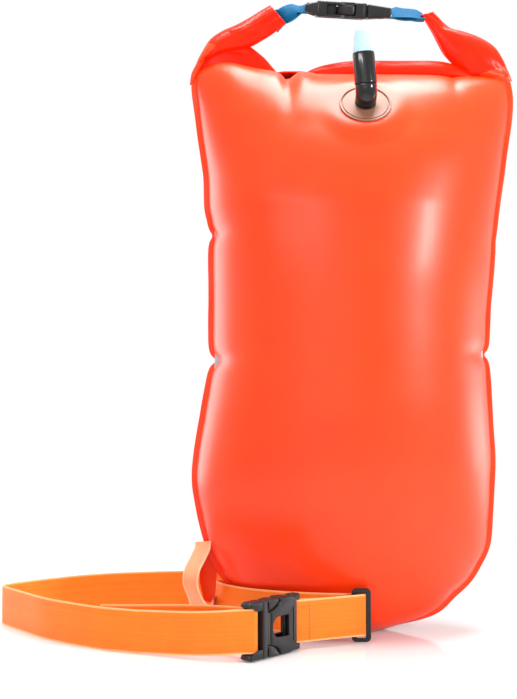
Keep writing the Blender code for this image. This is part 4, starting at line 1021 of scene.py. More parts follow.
# The belt's way in millimetres from the slider round the back, and how far it is raised, from 0 to 1
BELT_ROUTE = (
    (2, -60, 1), (-12, -60.5, 1), (-33, -57, 1), (-65, -47.5, 1), (-94, -31, 1), (-114, -11, 1),
    (-125.5, 8, 1), (-127, 15, 1), (-123.5, 19.5, 1), (-119.5, 23, 0.9), (-112, 37, 0.7),
    (-90, 60, 0.4), (-50, 83, 0.1), (0, 96, 0), (28, 101, 0), (33.5, 104.5, 0), (28, 108.5, 0),
    (0, 114, 0), (-70, 122, 0), (-165, 121, 0), (-226, 110, 0), (-254, 100, 0), (-276, 88, 0),
    (-310, 62, 0), (-331, 41, 0), (-338.5, 31, 0), (-340.5, 25, 0), (-338, 18, 0), (-313, -15, 0),
    (-281, -54, 0), (-232, -94, 0), (-196, -111, 0),
)
PLUG_RUN = (
    (-196, -111, 0), (-185, -115, 0.1), (-160, -125.5, 0.25), (-136, -135.5, 0.5), (-116, -142, 0.8),
    (-103, -144, 1),
)
PLUG_RETURN = (
    (-106, -127, 0.9), (-130, -111, 0.7), (-165, -98, 0.4), (-200, -92, 0.2), (-228, -88, 0.1),
)
WAIST_MATRIX = Matrix(
    (
        (-0.64279, 0, -0.76604, -0.08199),
        (-0.76604, 0, 0.64279, -0.12799),
        (0, 1, 0, 0.0252),
        (0, 0, 0, 1),
    )
)
ROLL_MATRIX = Matrix(
    (
        (0.99813, 0.01785, 0.05838, 0.02152),
        (0, 0.95630, -0.29237, 0),
        (-0.06105, 0.29183, 0.95452, 0.611),
        (0, 0, 0, 1),
    )
)
BUCKLE_TURN = 4.21 * MM
WAIST_PLUG_BAR = 14.2 * MM


def turn_round(centre, radius, before, after, steps=16):
    """The strap's turn round a bar kept on its left, between two places on its way."""
    arriving, leaving = centre - before, after - centre
    first = math.atan2(arriving.y, arriving.x) - math.asin(radius / arriving.length) - math.pi / 2
    last = math.atan2(leaving.y, leaving.x) + math.asin(radius / leaving.length) - math.pi / 2
    while last < first:
        last += 2 * math.pi
    turned = []
    for step in range(steps + 1):
        angle = first + (last - first) * step / steps
        turned.append(centre + radius * Vector((math.cos(angle), math.sin(angle))))
    return turned


def on_edge(points):
    """Belt stations from places on the floor, each with its raise share as third number."""
    made = []
    for x, y, share in points:
        low = max(0.3 * MM, share * BELT_RAISED)
        made.append((Vector((x, y, low + BELT_HEIGHT / 2)), UP, 1.0))
    return made


def plan(matrix, local_x):
    place = matrix @ Vector((local_x, 0, 0))
    return Vector((place.x, place.y))


def make_belt():
    housing_bar = plan(WAIST_MATRIX, -0.0458)
    plug_bar = plan(WAIST_MATRIX, WAIST_PLUG_BAR)
    slider_bar = Vector((0.0104, -0.0635))
    slider_radius = 2.9 * MM
    heading = (slider_bar - housing_bar).normalized()
    left = Vector((-heading.y, heading.x))
    inner = housing_bar - left * BUCKLE_TURN + left * (WEBBING + 0.4 * MM)
    tail = inner + heading * (0.014 + BUCKLE_TURN * 2)
    meeting = inner + heading * BUCKLE_TURN * 3
    housing_turn = turn_round(housing_bar, BUCKLE_TURN, meeting, slider_bar - left * slider_radius)
    strip_start = Vector(BELT_ROUTE[0][:2]) * MM
    slider_turn = turn_round(slider_bar, slider_radius, housing_turn[-1], strip_start)
    front = [housing_turn[-1].lerp(slider_turn[0], step / 24) for step in range(1, 24)]
    straight = [tail, tail.lerp(meeting, 0.5), meeting, *housing_turn, *front, *slider_turn]
    level = [(place.x, place.y, 1.0) for place in straight]
    last = slider_turn[-1]
    lying = [(x * MM, y * MM, 0, share) for x, y, share in BELT_ROUTE]
    loose = through([(last.x, last.y, 0, 1.0), *lying], 420)
    route = level[:-1] + [(x, y, share) for x, y, _, share in loose]
    belt = strap("waist_belt", on_edge(route), BELT_HEIGHT / 2, WEBBING, BELT_WEAVE, 16)
    finish_piece(belt, "root", "belt_webbing", "waist_belt_webbing")

    run, back = (
        [
            (x, y, share)
            for x, y, _, share in through([(x * MM, y * MM, 0, share) for x, y, share in table], 60)
        ]
        for table in (PLUG_RUN, PLUG_RETURN)
    )
    turned = turn_round(plug_bar, BUCKLE_TURN, Vector(run[-1][:2]), Vector(back[0][:2]))
    route = run + [(p.x, p.y, 1.0) for p in turned] + back
    end = strap("waist_belt_end", on_edge(route), BELT_HEIGHT / 2, WEBBING, BELT_WEAVE, 16)
    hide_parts("waist_belt_plug_end")
    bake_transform(end)


def make_leash():
    places = in_mm(
        (-139.5, -5, 85), (-140.5, -7, 78), (-144.5, -9.5, 69.5), (-150, -13.5, 58), (-151.2, -14, 45),
        (-146.5, -10, 31), (-140.5, -3, 21), (-134.5, 4, 17.8), (-130, 10, 17.5), (-128.9, 16.5, 17.5),
    )
    drawn = through(places, 80)
    route = []
    for index, point in enumerate(drawn):
        turning = float(ease(index / 79, 0.58, 1.0))
        across = Vector((0.62, -0.78, 0)).lerp(UP, turning)
        route.append((Vector(point), across, 1.0))
    leash = strap("leash_strap", route, 0.0125, WEBBING, LEASH_WEAVE, 12)
    finish_piece(leash, "root", "belt_webbing", "leash_webbing")


# Hard parts
def start_plate(name, outline, low, high, round_by, segments=3, material=None):
    """A flat part: a filled circle drawn out to an outline, extruded and rounded."""
    bpy.ops.object.select_all(action="DESELECT")
    bpy.ops.mesh.primitive_circle_add(vertices=len(outline), radius=1, fill_type="NGON")
    obj = bpy.context.object
    obj.name = obj.data.name = name
    for vertex, (x, y) in zip(obj.data.vertices, outline):
        vertex.co = (x, y, low)
    bpy.ops.object.mode_set(mode="EDIT")
    bpy.ops.mesh.select_all(action="SELECT")
    bpy.ops.mesh.extrude_region_move(TRANSFORM_OT_translate={"value": (0, 0, high - low)})
    bpy.ops.mesh.select_all(action="SELECT")
    bpy.ops.mesh.normals_make_consistent(inside=False)
    bpy.ops.object.mode_set(mode="OBJECT")
    if round_by:
        rounded(obj, round_by, segments)
    if material:
        obj.data.materials.append(material)
    return obj


def start_box(name, low, high, round_by=0.0, segments=3, material=None):
    """A block between two corners, its edges rounded."""
    bpy.ops.object.select_all(action="DESELECT")
    middle = [(a + b) / 2 for a, b in zip(low, high)]
    size = [abs(b - a) for a, b in zip(low, high)]
    bpy.ops.mesh.primitive_cube_add(size=1, location=middle, scale=size)
    obj = bpy.context.object
    obj.name = obj.data.name = name
    bpy.ops.object.transform_apply(location=True, rotation=True, scale=True)
    if round_by:
        rounded(obj, round_by, segments)
    if material:
        obj.data.materials.append(material)
    return obj


def start_rod(name, start, end, radius, sides=24, material=None):
    """A round bar between two places."""
    bpy.ops.object.select_all(action="DESELECT")
    start, end = Vector(start), Vector(end)
    bpy.ops.mesh.primitive_cylinder_add(
        vertices=sides,
        radius=radius,
        depth=(end - start).length,
        location=(start + end) / 2,
        rotation=(end - start).to_track_quat("Z", "Y").to_euler(),
    )
    obj = bpy.context.object
    obj.name = obj.data.name = name
    bpy.ops.object.transform_apply(location=True, rotation=True, scale=True)
    if material:
        obj.data.materials.append(material)
    return obj


def rounded(obj, width, segments=3, angle=30):
    modifier = obj.modifiers.new("rounded", "BEVEL")
    modifier.width = width
    modifier.segments = segments
    modifier.limit_method = "ANGLE"
    modifier.angle_limit = math.radians(angle)
    modifier.harden_normals = False
    apply_all(obj)


def worked(obj, tool, operation="DIFFERENCE"):
    """Cuts a tool out of a part, or welds it on, and clears the tool away."""
    modifier = obj.modifiers.new("worked", "BOOLEAN")
    modifier.operation = operation
    modifier.object = tool
    modifier.solver = "EXACT"
    apply_all(obj)
    bpy.data.objects.remove(tool, do_unlink=True)
    return obj


def settle(obj, matrix, angle=32):
    """Puts a part from its own frame into its place, its object at the origin."""
    obj.data.transform(matrix)
    only(obj)
    bpy.ops.object.mode_set(mode="EDIT")
    bpy.ops.mesh.select_all(action="SELECT")
    bpy.ops.mesh.remove_doubles(threshold=0.00001)
    bpy.ops.mesh.normals_make_consistent(inside=False)
    bpy.ops.object.mode_set(mode="OBJECT")
    bpy.ops.object.shade_smooth_by_angle(angle=math.radians(angle))
    return obj


# Half sizes shared by both buckles: body, webbing slots and the hollow for the arms
BUCKLE_HALF = 25 * MM
BUCKLE_THICK = 7.5 * MM
SLOT_HALF = 19.8 * MM
CAVITY_WIDE = 22.6 * MM
CAVITY_HIGH = 5.3 * MM
# How far a cutting tool reaches past the part
CUT_OVER = 20 * MM


def rounded_outline(corners, radius, steps=6):
    """A polygon's outline with each corner turned on a radius."""
    made = []
    count = len(corners)
    for index, corner in enumerate(corners):
        here = Vector(corner)
        before, after = Vector(corners[index - 1]), Vector(corners[(index + 1) % count])
        back, on = (before - here).normalized(), (after - here).normalized()
        half = back.angle(on) / 2
        reach = min(radius / math.tan(half), (before - here).length * 0.45, (after - here).length * 0.45)
        size = reach * math.tan(half)
        centre = here + (back + on).normalized() * math.hypot(reach, size)
        first, last = here + back * reach - centre, here + on * reach - centre
        for step in range(steps + 1):
            made.append(centre + first.lerp(last, step / steps).normalized() * size)
    return [(point.x, point.y) for point in made]


def mirrored(corners, sign):
    return [(x, sign * y) for x, y in corners]


def bar_end(body, length, slot_low, slot_high, half=4.8 * MM, end_share=1.0, edge=2 * MM):
    """The housing's end: a frame thinner than the body, with its slot and its bar."""
    tail = start_box("tail", (-length, -BUCKLE_HALF, -half), (4 * MM - slot_high, BUCKLE_HALF, half))
    for vertex in tail.data.vertices:
        if vertex.co.x < -slot_low:
            vertex.co.z *= end_share
    rounded(tail, edge, 4)
    worked(body, tail, "UNION")
    low, high = (-slot_low, -SLOT_HALF, -CUT_OVER), (-slot_high, SLOT_HALF, CUT_OVER)
    worked(body, start_box("slot", low, high, 0.8 * MM, 2))
    for side in (-1, 1):
        low = (-length - CUT_OVER, -SLOT_HALF, side * 2.4 * MM)
        high = (0.2 * MM - slot_low, SLOT_HALF, side * CUT_OVER)
        worked(body, start_box("shave", low, high))


def cut_cavity(body, depth):
    """The hollow that takes the plug's arms, open at the housing's mouth."""
    low, high = (-depth, -CAVITY_WIDE, -CAVITY_HIGH), (CUT_OVER, CAVITY_WIDE, CAVITY_HIGH)
    worked(body, start_box("cavity", low, high, 0.6 * MM, 2))


def weld_tongue(plate, reach, half):
    """The guide between the plug's arms."""
    low, high = (-reach, -half, -3 * MM), (4 * MM, half, 3 * MM)
    worked(plate, start_box("tongue", low, high, 0.9 * MM, 2), "UNION")


def handle_housing():
    """The handle buckle's housing: the plug leaves along +X, and its arms show in side windows."""
    outline = rounded_outline(
        in_mm(
            (-0.4, -22.6), (-0.4, 22.6), (-3.5, 25), (-46, 25), (-49.6, 23.6), (-49.6, -23.6),
            (-46, -25), (-3.5, -25),
        ),
        1.6 * MM,
    )
    low, high = -BUCKLE_THICK, BUCKLE_THICK
    body = start_plate("roll_buckle_housing_body", outline, low, high, 2.1 * MM, 4, BUCKLE_PLASTIC)
    bar_end(body, 61 * MM, 56.6 * MM, 50.6 * MM, 7.4 * MM, 0.48, 2.6 * MM)
    cut_cavity(body, 47.6 * MM)
    window = in_mm((-11, 20), (-11, 30), (-42, 30), (-37, 20))
    for sign in (-1, 1):
        outline = rounded_outline(mirrored(window, sign), 1.4 * MM)
        worked(body, start_plate("side_window", outline, -5 * MM, 5 * MM, 0))
        for side in (-1, 1):
            low, high = in_mm((-19, sign * 33, side * 4.6), (-19, sign * 33, side * 10))
            worked(body, start_rod("thumb_scoop", low, high, 10.8 * MM, 48))
    low, high = in_mm((-48, -18, -5.7), (-30, 18, 5.7))
    worked(body, start_box("block", low, high, 0.4 * MM, 2), "UNION")
    panel = in_mm((-7.2, -12.8), (-7.2, 12.8), (-47.4, 12.8), (-47.4, -12.8))
    for side in (-1, 1):
        low, high = side * (BUCKLE_THICK - 1 * MM), side * (BUCKLE_THICK + 4 * MM)
        worked(body, start_plate("panel", rounded_outline(panel, 2.4 * MM), low, high, 0))
        cut_door(body, side, 11 * MM, 34.5 * MM)
    rounded(body, 0.35 * MM, 2, 40)
    settle(body, ROLL_MATRIX)
    finish_piece(body, "root", "buckle_acetal", "roll_buckle_housing")


def waist_housing():
    """The belt buckle's housing, cut back at both corners of its mouth for the release buttons."""
    half = in_mm(
        (-3.4, 14.7), (-9, 16), (-13.2, 18), (-16.5, 21.2), (-17, 25), (-22.5, 25.2), (-30, 24.4),
        (-37.5, 23.6), (-39.8, 22.6),
    )
    outline = rounded_outline([*mirrored(half, -1)[::-1], *half], 1.8 * MM)
    low, high = -BUCKLE_THICK, BUCKLE_THICK
    body = start_plate("waist_buckle_housing_body", outline, low, high, 2.6 * MM, 5, BUCKLE_PLASTIC)
    bar_end(body, 48 * MM, 43.6 * MM, 39.4 * MM)
    cut_cavity(body, 34.6 * MM)
    for side, far in ((-1, 28 * MM), (1, 34.5 * MM)):
        cut_door(body, side, 5.5 * MM, far)
    low, high = in_mm((-34.6, -15, -10), (-33.4, 15, -6.6))
    worked(body, start_box("groove", low, high, 0.4 * MM, 2))
    low, high = in_mm((-35, -10, -3), (-26.2, 10, -0.5))
    worked(body, start_box("web", low, high, 0.6 * MM, 2), "UNION")
    rounded(body, 0.4 * MM, 2, 40)
    settle(body, WAIST_MATRIX)
    finish_piece(body, "root", "buckle_acetal", "waist_buckle_housing")


def cut_door(body, side, near, far):
    """The D window in a face, round towards the mouth and straight towards the bar."""
    half = 9.3 * MM
    corners = [(-far, -half), (-far, half)]
    for step in range(15):
        angle = math.pi / 2 - math.pi * step / 14
        corners.append((-near - half + half * math.cos(angle), half * math.sin(angle)))
    corners.reverse()
    worked(body, start_plate("door", corners, side * 3 * MM, side * 12 * MM, 0))


PLUG_LENGTH = 24 * MM
PLUG_TAPER = 0.36


def handle_plug():
    """The handle plug's frame with its bar, and the guide tongue between its arms."""
    corners = in_mm((0.3, -24.2), (0.3, 24.2), (24, 25), (24, -25))
    outline = rounded_outline(corners, 2.2 * MM)
    plate = start_plate("roll_buckle_plug_frame", outline, -7.2 * MM, 7.2 * MM, 0, 3, BUCKLE_PLASTIC)
    for vertex in plate.data.vertices:
        vertex.co.z *= 1 - PLUG_TAPER * max(vertex.co.x, 0) / PLUG_LENGTH
    rounded(plate, 2.2 * MM, 4)
    low, high = (13.6 * MM, -SLOT_HALF, -CUT_OVER), (19.6 * MM, SLOT_HALF, CUT_OVER)
    worked(plate, start_box("slot", low, high, 0.8 * MM, 2))
    for side in (-1, 1):
        low = (19.4 * MM, -SLOT_HALF, side * 2.3 * MM)
        high = (PLUG_LENGTH + 10 * MM, SLOT_HALF, side * CUT_OVER)
        worked(plate, start_box("shave", low, high))
    weld_tongue(plate, 15 * MM, 4.6 * MM)
    rounded(plate, 0.3 * MM, 2, 40)
    settle(plate, ROLL_MATRIX)
    finish_piece(plate, "roll_plug", "buckle_acetal", "roll_buckle_plug")


def waist_plug():
    """The belt plug: a block that closes the mouth, a bar, and hooks over the belt's edges."""
    half = in_mm((-3, 13.9), (0.9, 14.3), (0.9, 23.8), (3.2, 24.6), (7.2, 24.6))
    side = in_mm((4, 19.9), (4, 25), (20, 25), (24, 23.2), (23.6, 20.6), (18, 19.9))
    hook = in_mm((6, 16.8), (6, 24), (20.5, 24), (22.2, 22.2), (17, 17.6), (12, 16.4))
    outline = rounded_outline([*half, *mirrored(half, -1)[::-1]], 1.2 * MM, 4)
    plate = start_plate("waist_buckle_plug_frame", outline, -7.2 * MM, 7.2 * MM, 1.8 * MM, 4, BUCKLE_PLASTIC)
    for sign in (-1, 1):
        outline = rounded_outline(mirrored(side, sign), 1.6 * MM)
        worked(plate, start_plate("side", outline, -5.2 * MM, 5.2 * MM, 1.3 * MM, 3), "UNION")
        for face in (-1, 1):
            outline = rounded_outline(mirrored(hook, sign), 1.4 * MM)
            low, high = sorted((face * 5.2 * MM, face * 6.6 * MM))
            worked(plate, start_plate("hook", outline, low, high, 0.6 * MM, 2), "UNION")
    bar = start_rod("bar", (WAIST_PLUG_BAR, -21.5 * MM, 0), (WAIST_PLUG_BAR, 21.5 * MM, 0), 2.6 * MM)
    worked(plate, bar, "UNION")
    weld_tongue(plate, 8.2 * MM, 4.4 * MM)
    rounded(plate, 0.3 * MM, 2, 40)
    settle(plate, WAIST_MATRIX)
    finish_piece(plate, "waist_plug", "buckle_acetal", "waist_buckle_plug")


def cut_grooves(arm, count, first, pitch, across, radius):
    """The grip's grooves across an arm's outer edge."""
    for step in range(count):
        x = first - step * pitch
        worked(arm, start_rod("groove", (x, across, -10 * MM), (x, across, 10 * MM), radius, 12))


def pair_of_arms(arm, buckle, matrix):
    """Puts an arm in its place, and its mirrored copy on the buckle's other side."""
    other = arm.copy()
    other.data = arm.data.copy()
    bpy.context.scene.collection.objects.link(other)
    other.data.transform(Matrix.Scale(-1, 4, (0, 1, 0)))
    for label, part in (("a", arm), ("b", other)):
        part.name = part.data.name = f"{buckle}_buckle_spring_arm_{label}"
        settle(part, matrix)
        finish_piece(part, f"{buckle}_arm_{label}", "buckle_acetal", f"{buckle}_buckle_arm_{label}")


def handle_arms():
    """The springy arms, their ridged heads showing in the side windows."""
    corners = in_mm(
        (-0.3, 18.4), (-0.3, 21.7), (-11.5, 21.5), (-12.6, 24), (-14.6, 24.7), (-20, 24.7),
        (-23.6, 23.8), (-26.8, 21.9), (-29, 20.3), (-28.4, 18.6), (-20, 19.2), (-10, 18.7),
    )
    outline = rounded_outline(corners, 0.7 * MM, 4)
    arm = start_plate("arm", outline, -4.2 * MM, 4.2 * MM, 0.6 * MM, 3, BUCKLE_PLASTIC)
    cut_grooves(arm, 4, -14.8 * MM, 2.1 * MM, 25.2 * MM, 0.62 * MM)
    pair_of_arms(arm, "roll", ROLL_MATRIX)


def waist_arms():
    """The springy arms: release buttons at the mouth's corners, and barbs inside the housing."""
    corners = in_mm(
        (-1.5, 15.2), (-0.3, 17.4), (-0.3, 23.6), (-3, 24.7), (-12, 24.8), (-16, 24), (-16, 21.4),
        (-21.5, 20.5), (-25, 19), (-24.4, 17.2), (-16, 17.6), (-12.5, 17.8), (-8.5, 16.3), (-3.6, 15.1),
    )
    outline = rounded_outline(corners, 0.7 * MM, 4)
    arm = start_plate("arm", outline, -5.1 * MM, 5.1 * MM, 0.4 * MM, 2, BUCKLE_PLASTIC)
    button = in_mm(
        (-0.8, 16.4), (-0.7, 23.2), (-3.2, 24.6), (-11.8, 24.7), (-15, 24.3), (-13.8, 22.2),
        (-10.5, 19.8), (-6, 17.2),
    )
    outline = rounded_outline(button, 1.0 * MM, 4)
    worked(arm, start_plate("button", outline, -7 * MM, 7 * MM, 1.2 * MM, 3), "UNION")
    cut_grooves(arm, 3, -4.6 * MM, 3 * MM, 25.3 * MM, 0.7 * MM)
    pair_of_arms(arm, "waist", WAIST_MATRIX)


def make_buckles():
    handle_housing()
    handle_plug()
    waist_housing()
    waist_plug()
    handle_arms()
    waist_arms()


def make_slider():
    """The rectangular slider that the belt turns through, standing on its edge."""
    low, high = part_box("belt_slider")
    middle = Vector(((low.x + high.x) / 2, (low.y + high.y) / 2, (low.z + high.z) / 2))
    width, height = high.x - low.x, high.z - low.z
    corners = [(x * width / 2, z * height / 2) for x, z in ((-1, -1), (1, -1), (1, 1), (-1, 1))]
    outline = rounded_outline(corners, 4.2 * MM)
    plate = start_plate("belt_slider_frame", outline, -1.8 * MM, 1.8 * MM, 1.1 * MM, 3, BUCKLE_PLASTIC)
    low = (4.2 * MM - width / 2, -21.2 * MM, -CUT_OVER)
    high = (width / 2 - 4.6 * MM, 20 * MM, CUT_OVER)
    worked(plate, start_box("slot", low, high, 1.6 * MM, 3))
    rounded(plate, 0.4 * MM, 2, 40)
    place = Matrix.Translation(middle) @ Matrix.Rotation(math.radians(90), 4, "X")
    settle(plate, place)
    finish_piece(plate, "root", "buckle_acetal", "belt_slider")


# Valve
VALVE_MATRIX = Matrix.Translation(VALVE_SEAT) @ Matrix(
    ((1, 0, 0, 0), (0, 0.57358, -0.81915, 0), (0, 0.81915, 0.57358, 0), (0, 0, 0, 1))
) @ Matrix.Rotation(math.radians(6.4), 4, "Z")
COLUMN_PLACE = Vector((0.01442, -0.0794, 0.51621))
COLUMN_AXIS = Vector((-0.08663, -0.07254, 0.99359))
COLUMN_MATRIX = Matrix.Translation(COLUMN_PLACE) @ COLUMN_AXIS.to_track_quat("Z", "Y").to_matrix().to_4x4()


# The elbow: where its two straight stretches would meet, its bend's radius and its turn
ELBOW_CORNER = 15 * MM
ELBOW_BEND = 11.5 * MM
ELBOW_BEND_DEG = 51


def drawn_out(name, stations, material, sides=48, closed=False):
    """A round part made from one circle, extruded, turned and resized from station to station.
    A station is its centre, its lean about X in degrees and its radius."""
    bpy.ops.object.select_all(action="DESELECT")
    centre, lean, radius = stations[0]
    bpy.ops.mesh.primitive_circle_add(
        vertices=sides, radius=radius, location=centre, rotation=(math.radians(lean), 0, 0)
    )
    obj = bpy.context.object
    obj.name = obj.data.name = name
    bpy.ops.object.transform_apply(location=True, rotation=True, scale=True)
    bpy.ops.object.mode_set(mode="EDIT")
    bpy.ops.mesh.select_all(action="SELECT")
    for there, turn, size in stations[1:]:
        step = Vector(there) - Vector(centre)
        bpy.ops.mesh.extrude_edges_move(TRANSFORM_OT_translate={"value": tuple(step)})
        if abs(turn - lean) > 1e-6:
            bpy.ops.transform.rotate(
                value=-math.radians(turn - lean), orient_axis="X", center_override=tuple(there)
            )
        share = size / radius
        bpy.ops.transform.resize(value=(share, share, share), center_override=tuple(there))
        centre, lean, radius = there, turn, size
    bpy.ops.mesh.select_all(action="SELECT")
    bpy.ops.mesh.remove_doubles(threshold=0.000005)
    if not closed:
        bpy.ops.mesh.select_all(action="DESELECT")
        bpy.ops.mesh.select_non_manifold()
        bpy.ops.mesh.edge_face_add()
    bpy.ops.mesh.select_all(action="SELECT")
    bpy.ops.mesh.normals_make_consistent(inside=False)
    bpy.ops.object.mode_set(mode="OBJECT")
    obj.data.materials.append(material)
    return obj


def upright(pairs):
    """Stations straight up the part's own axis from (radius, height) pairs in millimetres."""
    return [((0, 0, height * MM), 0.0, radius * MM) for radius, height in pairs]


def make_valve():
    disc = drawn_out(
        "valve_weld_disc",
        upright(
            (
                (4.6, 0), (24.2, 0), (24.5, 0.3), (24.5, 1.1), (24.1, 1.6), (23.1, 1.7), (22.6, 1.5),
                (22.3, 0.35), (21.5, 0.35), (21.2, 1.25), (12.4, 1.35), (11.6, 1.55), (10.6, 1.6),
                (8.4, 1.6), (7.3, 1.9), (7, 2.4), (7, 5.7), (6.7, 6), (4.9, 6), (4.6, 5.7), (4.6, 0),
            )
        ),
        DISC_FILM,
        72,
        True,
    )
    settle(disc, VALVE_MATRIX, 28)
    finish_piece(disc, "root", "valve_disc_pvc", "valve_base_disc")

    bend = math.radians(ELBOW_BEND_DEG)
    stations = upright(((8.2, 1.9), (9.5, 1.9), (10, 2.4), (10, 6.6), (9.75, 7), (10, 7.5)))
    straight_up = ELBOW_CORNER - ELBOW_BEND * math.tan(bend / 2)
    for step in range(1, 11):
        angle = bend * step / 10
        y = ELBOW_BEND * (1 - math.cos(angle))
        z = straight_up + ELBOW_BEND * math.sin(angle)
        stations.append(((0, y, z), -math.degrees(angle), 10.0 * MM))
    (_, end_y, end_z), _, _ = stations[-1]
    up = Vector((0, math.sin(bend), math.cos(bend)))
    tube = ((0.8, 9.9), (1.2, 9.4), (1.3, 7.6), (20.8, 7.6), (21.3, 7.2), (21.3, 5), (5, 5))
    for reach, radius in tube:
        place = Vector((0, end_y, end_z)) + up * (reach * MM)
        stations.append((tuple(place), -math.degrees(bend), radius * MM))
    elbow = drawn_out("valve_elbow_body", stations, VALVE_BLACK, 48)
    settle(elbow, VALVE_MATRIX, 30)
    finish_piece(elbow, "valve_body", "valve_rubber", "valve_elbow")

    sleeve = drawn_out(
        "valve_twist_sleeve",
        upright(
            (
                (7.9, 0.3), (10, 0.3), (10.45, 0.8), (10.5, 1.6), (10.45, 12), (10.3, 27.4),
                (10.2, 28.4), (9.95, 29.2), (9.7, 29.4), (9.6, 29), (9.6, 21.3), (7.9, 21), (7.9, 0.3),
            )
        ),
        VALVE_BLACK,
        64,
        True,
    )
    settle(sleeve, COLUMN_MATRIX, 30)
    finish_piece(sleeve, "valve_lock", "valve_rubber", "valve_lock_sleeve")

    mouth = drawn_out(
        "valve_mouth_tip",
        upright(
            (
                (3, 13.5), (4.5, 13.5), (4.5, 27), (8.7, 27.2), (9.1, 26.4), (9.35, 26.6), (9.45, 30),
                (9.25, 32.6), (8.75, 35), (8, 39), (7.3, 43), (6.75, 46.2), (6.4, 48.6), (6, 49.8),
                (5.2, 50.4), (3.6, 50.5), (3.1, 50.2), (3, 49.6), (3, 13.5),
            )
        ),
        MOUTH_PALE,
        64,
        True,
    )
    settle(mouth, COLUMN_MATRIX, 28)
    finish_piece(mouth, "valve_mouth", "mouthpiece_plastic", "valve_mouthpiece")


# Handle straps and small parts
def strap_between(name, line, turns, half_width, count=120):
    """A strap along a line of places. A turn is how far along, the direction across and its width."""
    drawn = through([tuple(place) for place in line], count)
    lengths = np.concatenate([[0], np.cumsum(np.linalg.norm(np.diff(drawn, axis=0), axis=1))])
    shares = lengths / lengths[-1]
    keys = [key for key, _, _ in turns]
    ways = np.array([tuple(Vector(way).normalized()) for _, way, _ in turns])
    route = []
    for point, share in zip(drawn, shares):
        across = Vector([float(np.interp(share, keys, ways[:, axis])) for axis in range(3)])
        width = float(np.interp(share, keys, [size for _, _, size in turns]))
        route.append((Vector(point), across, width))
    return strap(name, route, half_width, WEBBING, BLUE_WEAVE, 12)


def make_handle_straps():
    turn = ROLL_MATRIX.to_3x3()
    level, ahead, up = turn @ Vector((0, 1, 0)), turn @ Vector((1, 0, 0)), turn @ Vector((0, 0, 1))
    bar = ROLL_MATRIX @ Vector((-0.0588, 0, 0))
    line = [bar - ahead * 0.010 - up * (BUCKLE_TURN + 0.0002), bar - ahead * 0.005 - up * BUCKLE_TURN]
    for step in range(15):
        angle = math.pi * step / 14
        line.append(bar + (ahead * math.sin(angle) - up * math.cos(angle)) * BUCKLE_TURN)
    line += [Vector(place) for place in in_mm(
        (-43, -1, 615), (-50, -1.5, 612.5), (-56, -1.5, 609), (-63, -1, 605.5), (-72, 0, 601),
    )]
    turns = (
        (0.0, level, 1.0),
        (0.38, level, 1.0),
        (0.56, (0, 0.76, 0.65), 1.0),
        (0.72, (-0.26, 0.40, 0.88), 0.72),
        (0.82, (-0.52, 0.05, 0.80), 0.55),
        (1.0, (-0.70, -0.05, 0.71), 0.80),
    )
    left = strap_between("handle_strap_left", line, turns, 0.0150)
    finish_piece(left, "root", "handle_webbing", "roll_webbing_left")

    bar = ROLL_MATRIX @ Vector((0.0218, 0, 0))
    line = [Vector(place) for place in in_mm((80.5, 0, 603), (74, 0, 603), (64, 0, 604.5), (56, 0, 605))]
    for step in range(15):
        angle = math.pi * step / 14
        line.append(bar - (ahead * math.sin(angle) + up * math.cos(angle)) * BUCKLE_TURN)
    line += [Vector(place) for place in in_mm(
        (50, 0, 610.5), (59, 0, 608.5), (70, 0, 608), (77, 0, 606), (80, 0, 603.5),
    )]
    turns = (
        (0.0, (0, 0.99, 0.12), 0.55),
        (0.2, (0, 0.97, 0.24), 0.9),
        (0.48, level, 1.0),
        (0.575, level, 1.0),
        (0.66, (0, 0.72, 0.69), 1.0),
        (0.90, (0, 0.72, 0.69), 0.86),
        (1.0, (0, 0.76, 0.65), 0.50),
    )
    right = strap_between("handle_strap_right", line, turns, 0.0145)
    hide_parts("roll_webbing_right")
    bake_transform(right)


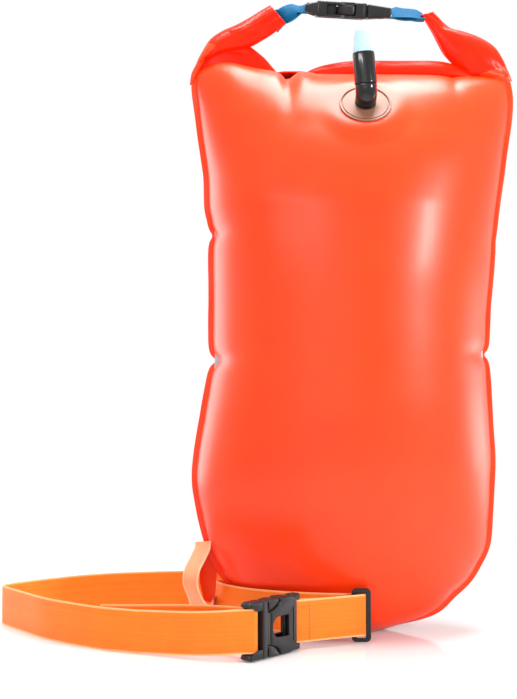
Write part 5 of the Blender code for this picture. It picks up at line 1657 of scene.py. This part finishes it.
def stitch_row(name, places, direction, length, normal, material):
    """A row of thread stitches lying on a strap."""
    points, faces = [], []
    for place in places:
        place = Vector(place)
        side = direction.cross(normal).normalized()
        start = len(points)
        for end in range(5):
            share = end / 4 - 0.5
            rise = normal * (0.00028 * math.cos(share * math.pi))
            centre = place + direction * (share * length) + rise
            for turn in range(6):
                angle = 2 * math.pi * turn / 6
                radius = 0.00032 * (0.6 if end in (0, 4) else 1.0)
                away = side * math.cos(angle) + normal * math.sin(angle)
                points.append(centre + away * radius)
        for ring in range(4):
            for turn in range(6):
                a = start + ring * 6 + turn
                b = start + ring * 6 + (turn + 1) % 6
                faces.append((a, b, b + 6, a + 6))
        faces.append(tuple(start + turn for turn in reversed(range(6))))
        faces.append(tuple(start + 24 + turn for turn in range(6)))
    uvs = [(point[0], point[2]) for point in points]
    obj = made_mesh(name, points, faces, material, uvs)
    outward(obj)
    return obj


def make_stitches():
    housing_bar = plan(WAIST_MATRIX, -0.0458)
    slider_bar = Vector((0.0104, -0.0635))
    heading = (slider_bar - housing_bar).normalized()
    left = Vector((-heading.y, heading.x))
    front = housing_bar + heading * 0.0125 - left * (BUCKLE_TURN + WEBBING / 2)
    out = Vector((-left.x, -left.y, 0))
    places = []
    for step in range(13):
        places.append((front.x, front.y, BELT_RAISED + 0.0025 + step * 0.00275))
    rows = stitch_row("belt_stitching", places, UP, 0.0021, out, THREAD)
    finish_piece(rows, "root", "belt_webbing")


def make_tab():
    """The film tab at the bag's lower left corner, cut slanting at its lower end."""
    low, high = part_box("leash_tab")
    corners = in_mm(
        (-140.5, 73.5), (-127.5, 73.5), (-126.2, 56), (-127.5, 35), (-130, 23.5), (-139, 27),
        (-143.2, 45), (-143, 64),
    )
    outline = rounded_outline(corners, 2.0 * MM, 4)
    tab = start_plate("leash_film_tab", outline, -0.00045, 0.00045, 0.25 * MM, 2, TAB_FILM)
    settle(tab, Matrix.Translation((0, (low.y + high.y) / 2, 0)) @ Matrix.Rotation(math.radians(90), 4, "X"))
    finish_piece(tab, "root", "bag_pvc", "leash_tab")


def finish_inner_nodes():
    """Gives the CAD nodes that stay their own finish, and the spring its own copy of its mesh."""
    for node, material in (
        ("valve_stem", MOUTH_PALE),
        ("valve_seal", VALVE_BLACK),
        ("valve_spring", STEEL),
    ):
        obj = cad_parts[node]
        obj.data.materials.clear()
        obj.data.materials.append(material)
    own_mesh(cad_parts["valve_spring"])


make_camera()
make_studio()
make_bag()
make_roll()
make_ears()
make_buckles()
make_slider()
make_valve()
make_belt()
make_stitches()
make_leash()
make_tab()
make_handle_straps()
finish_inner_nodes()

bpy.context.scene.view_settings.view_transform = "Standard"
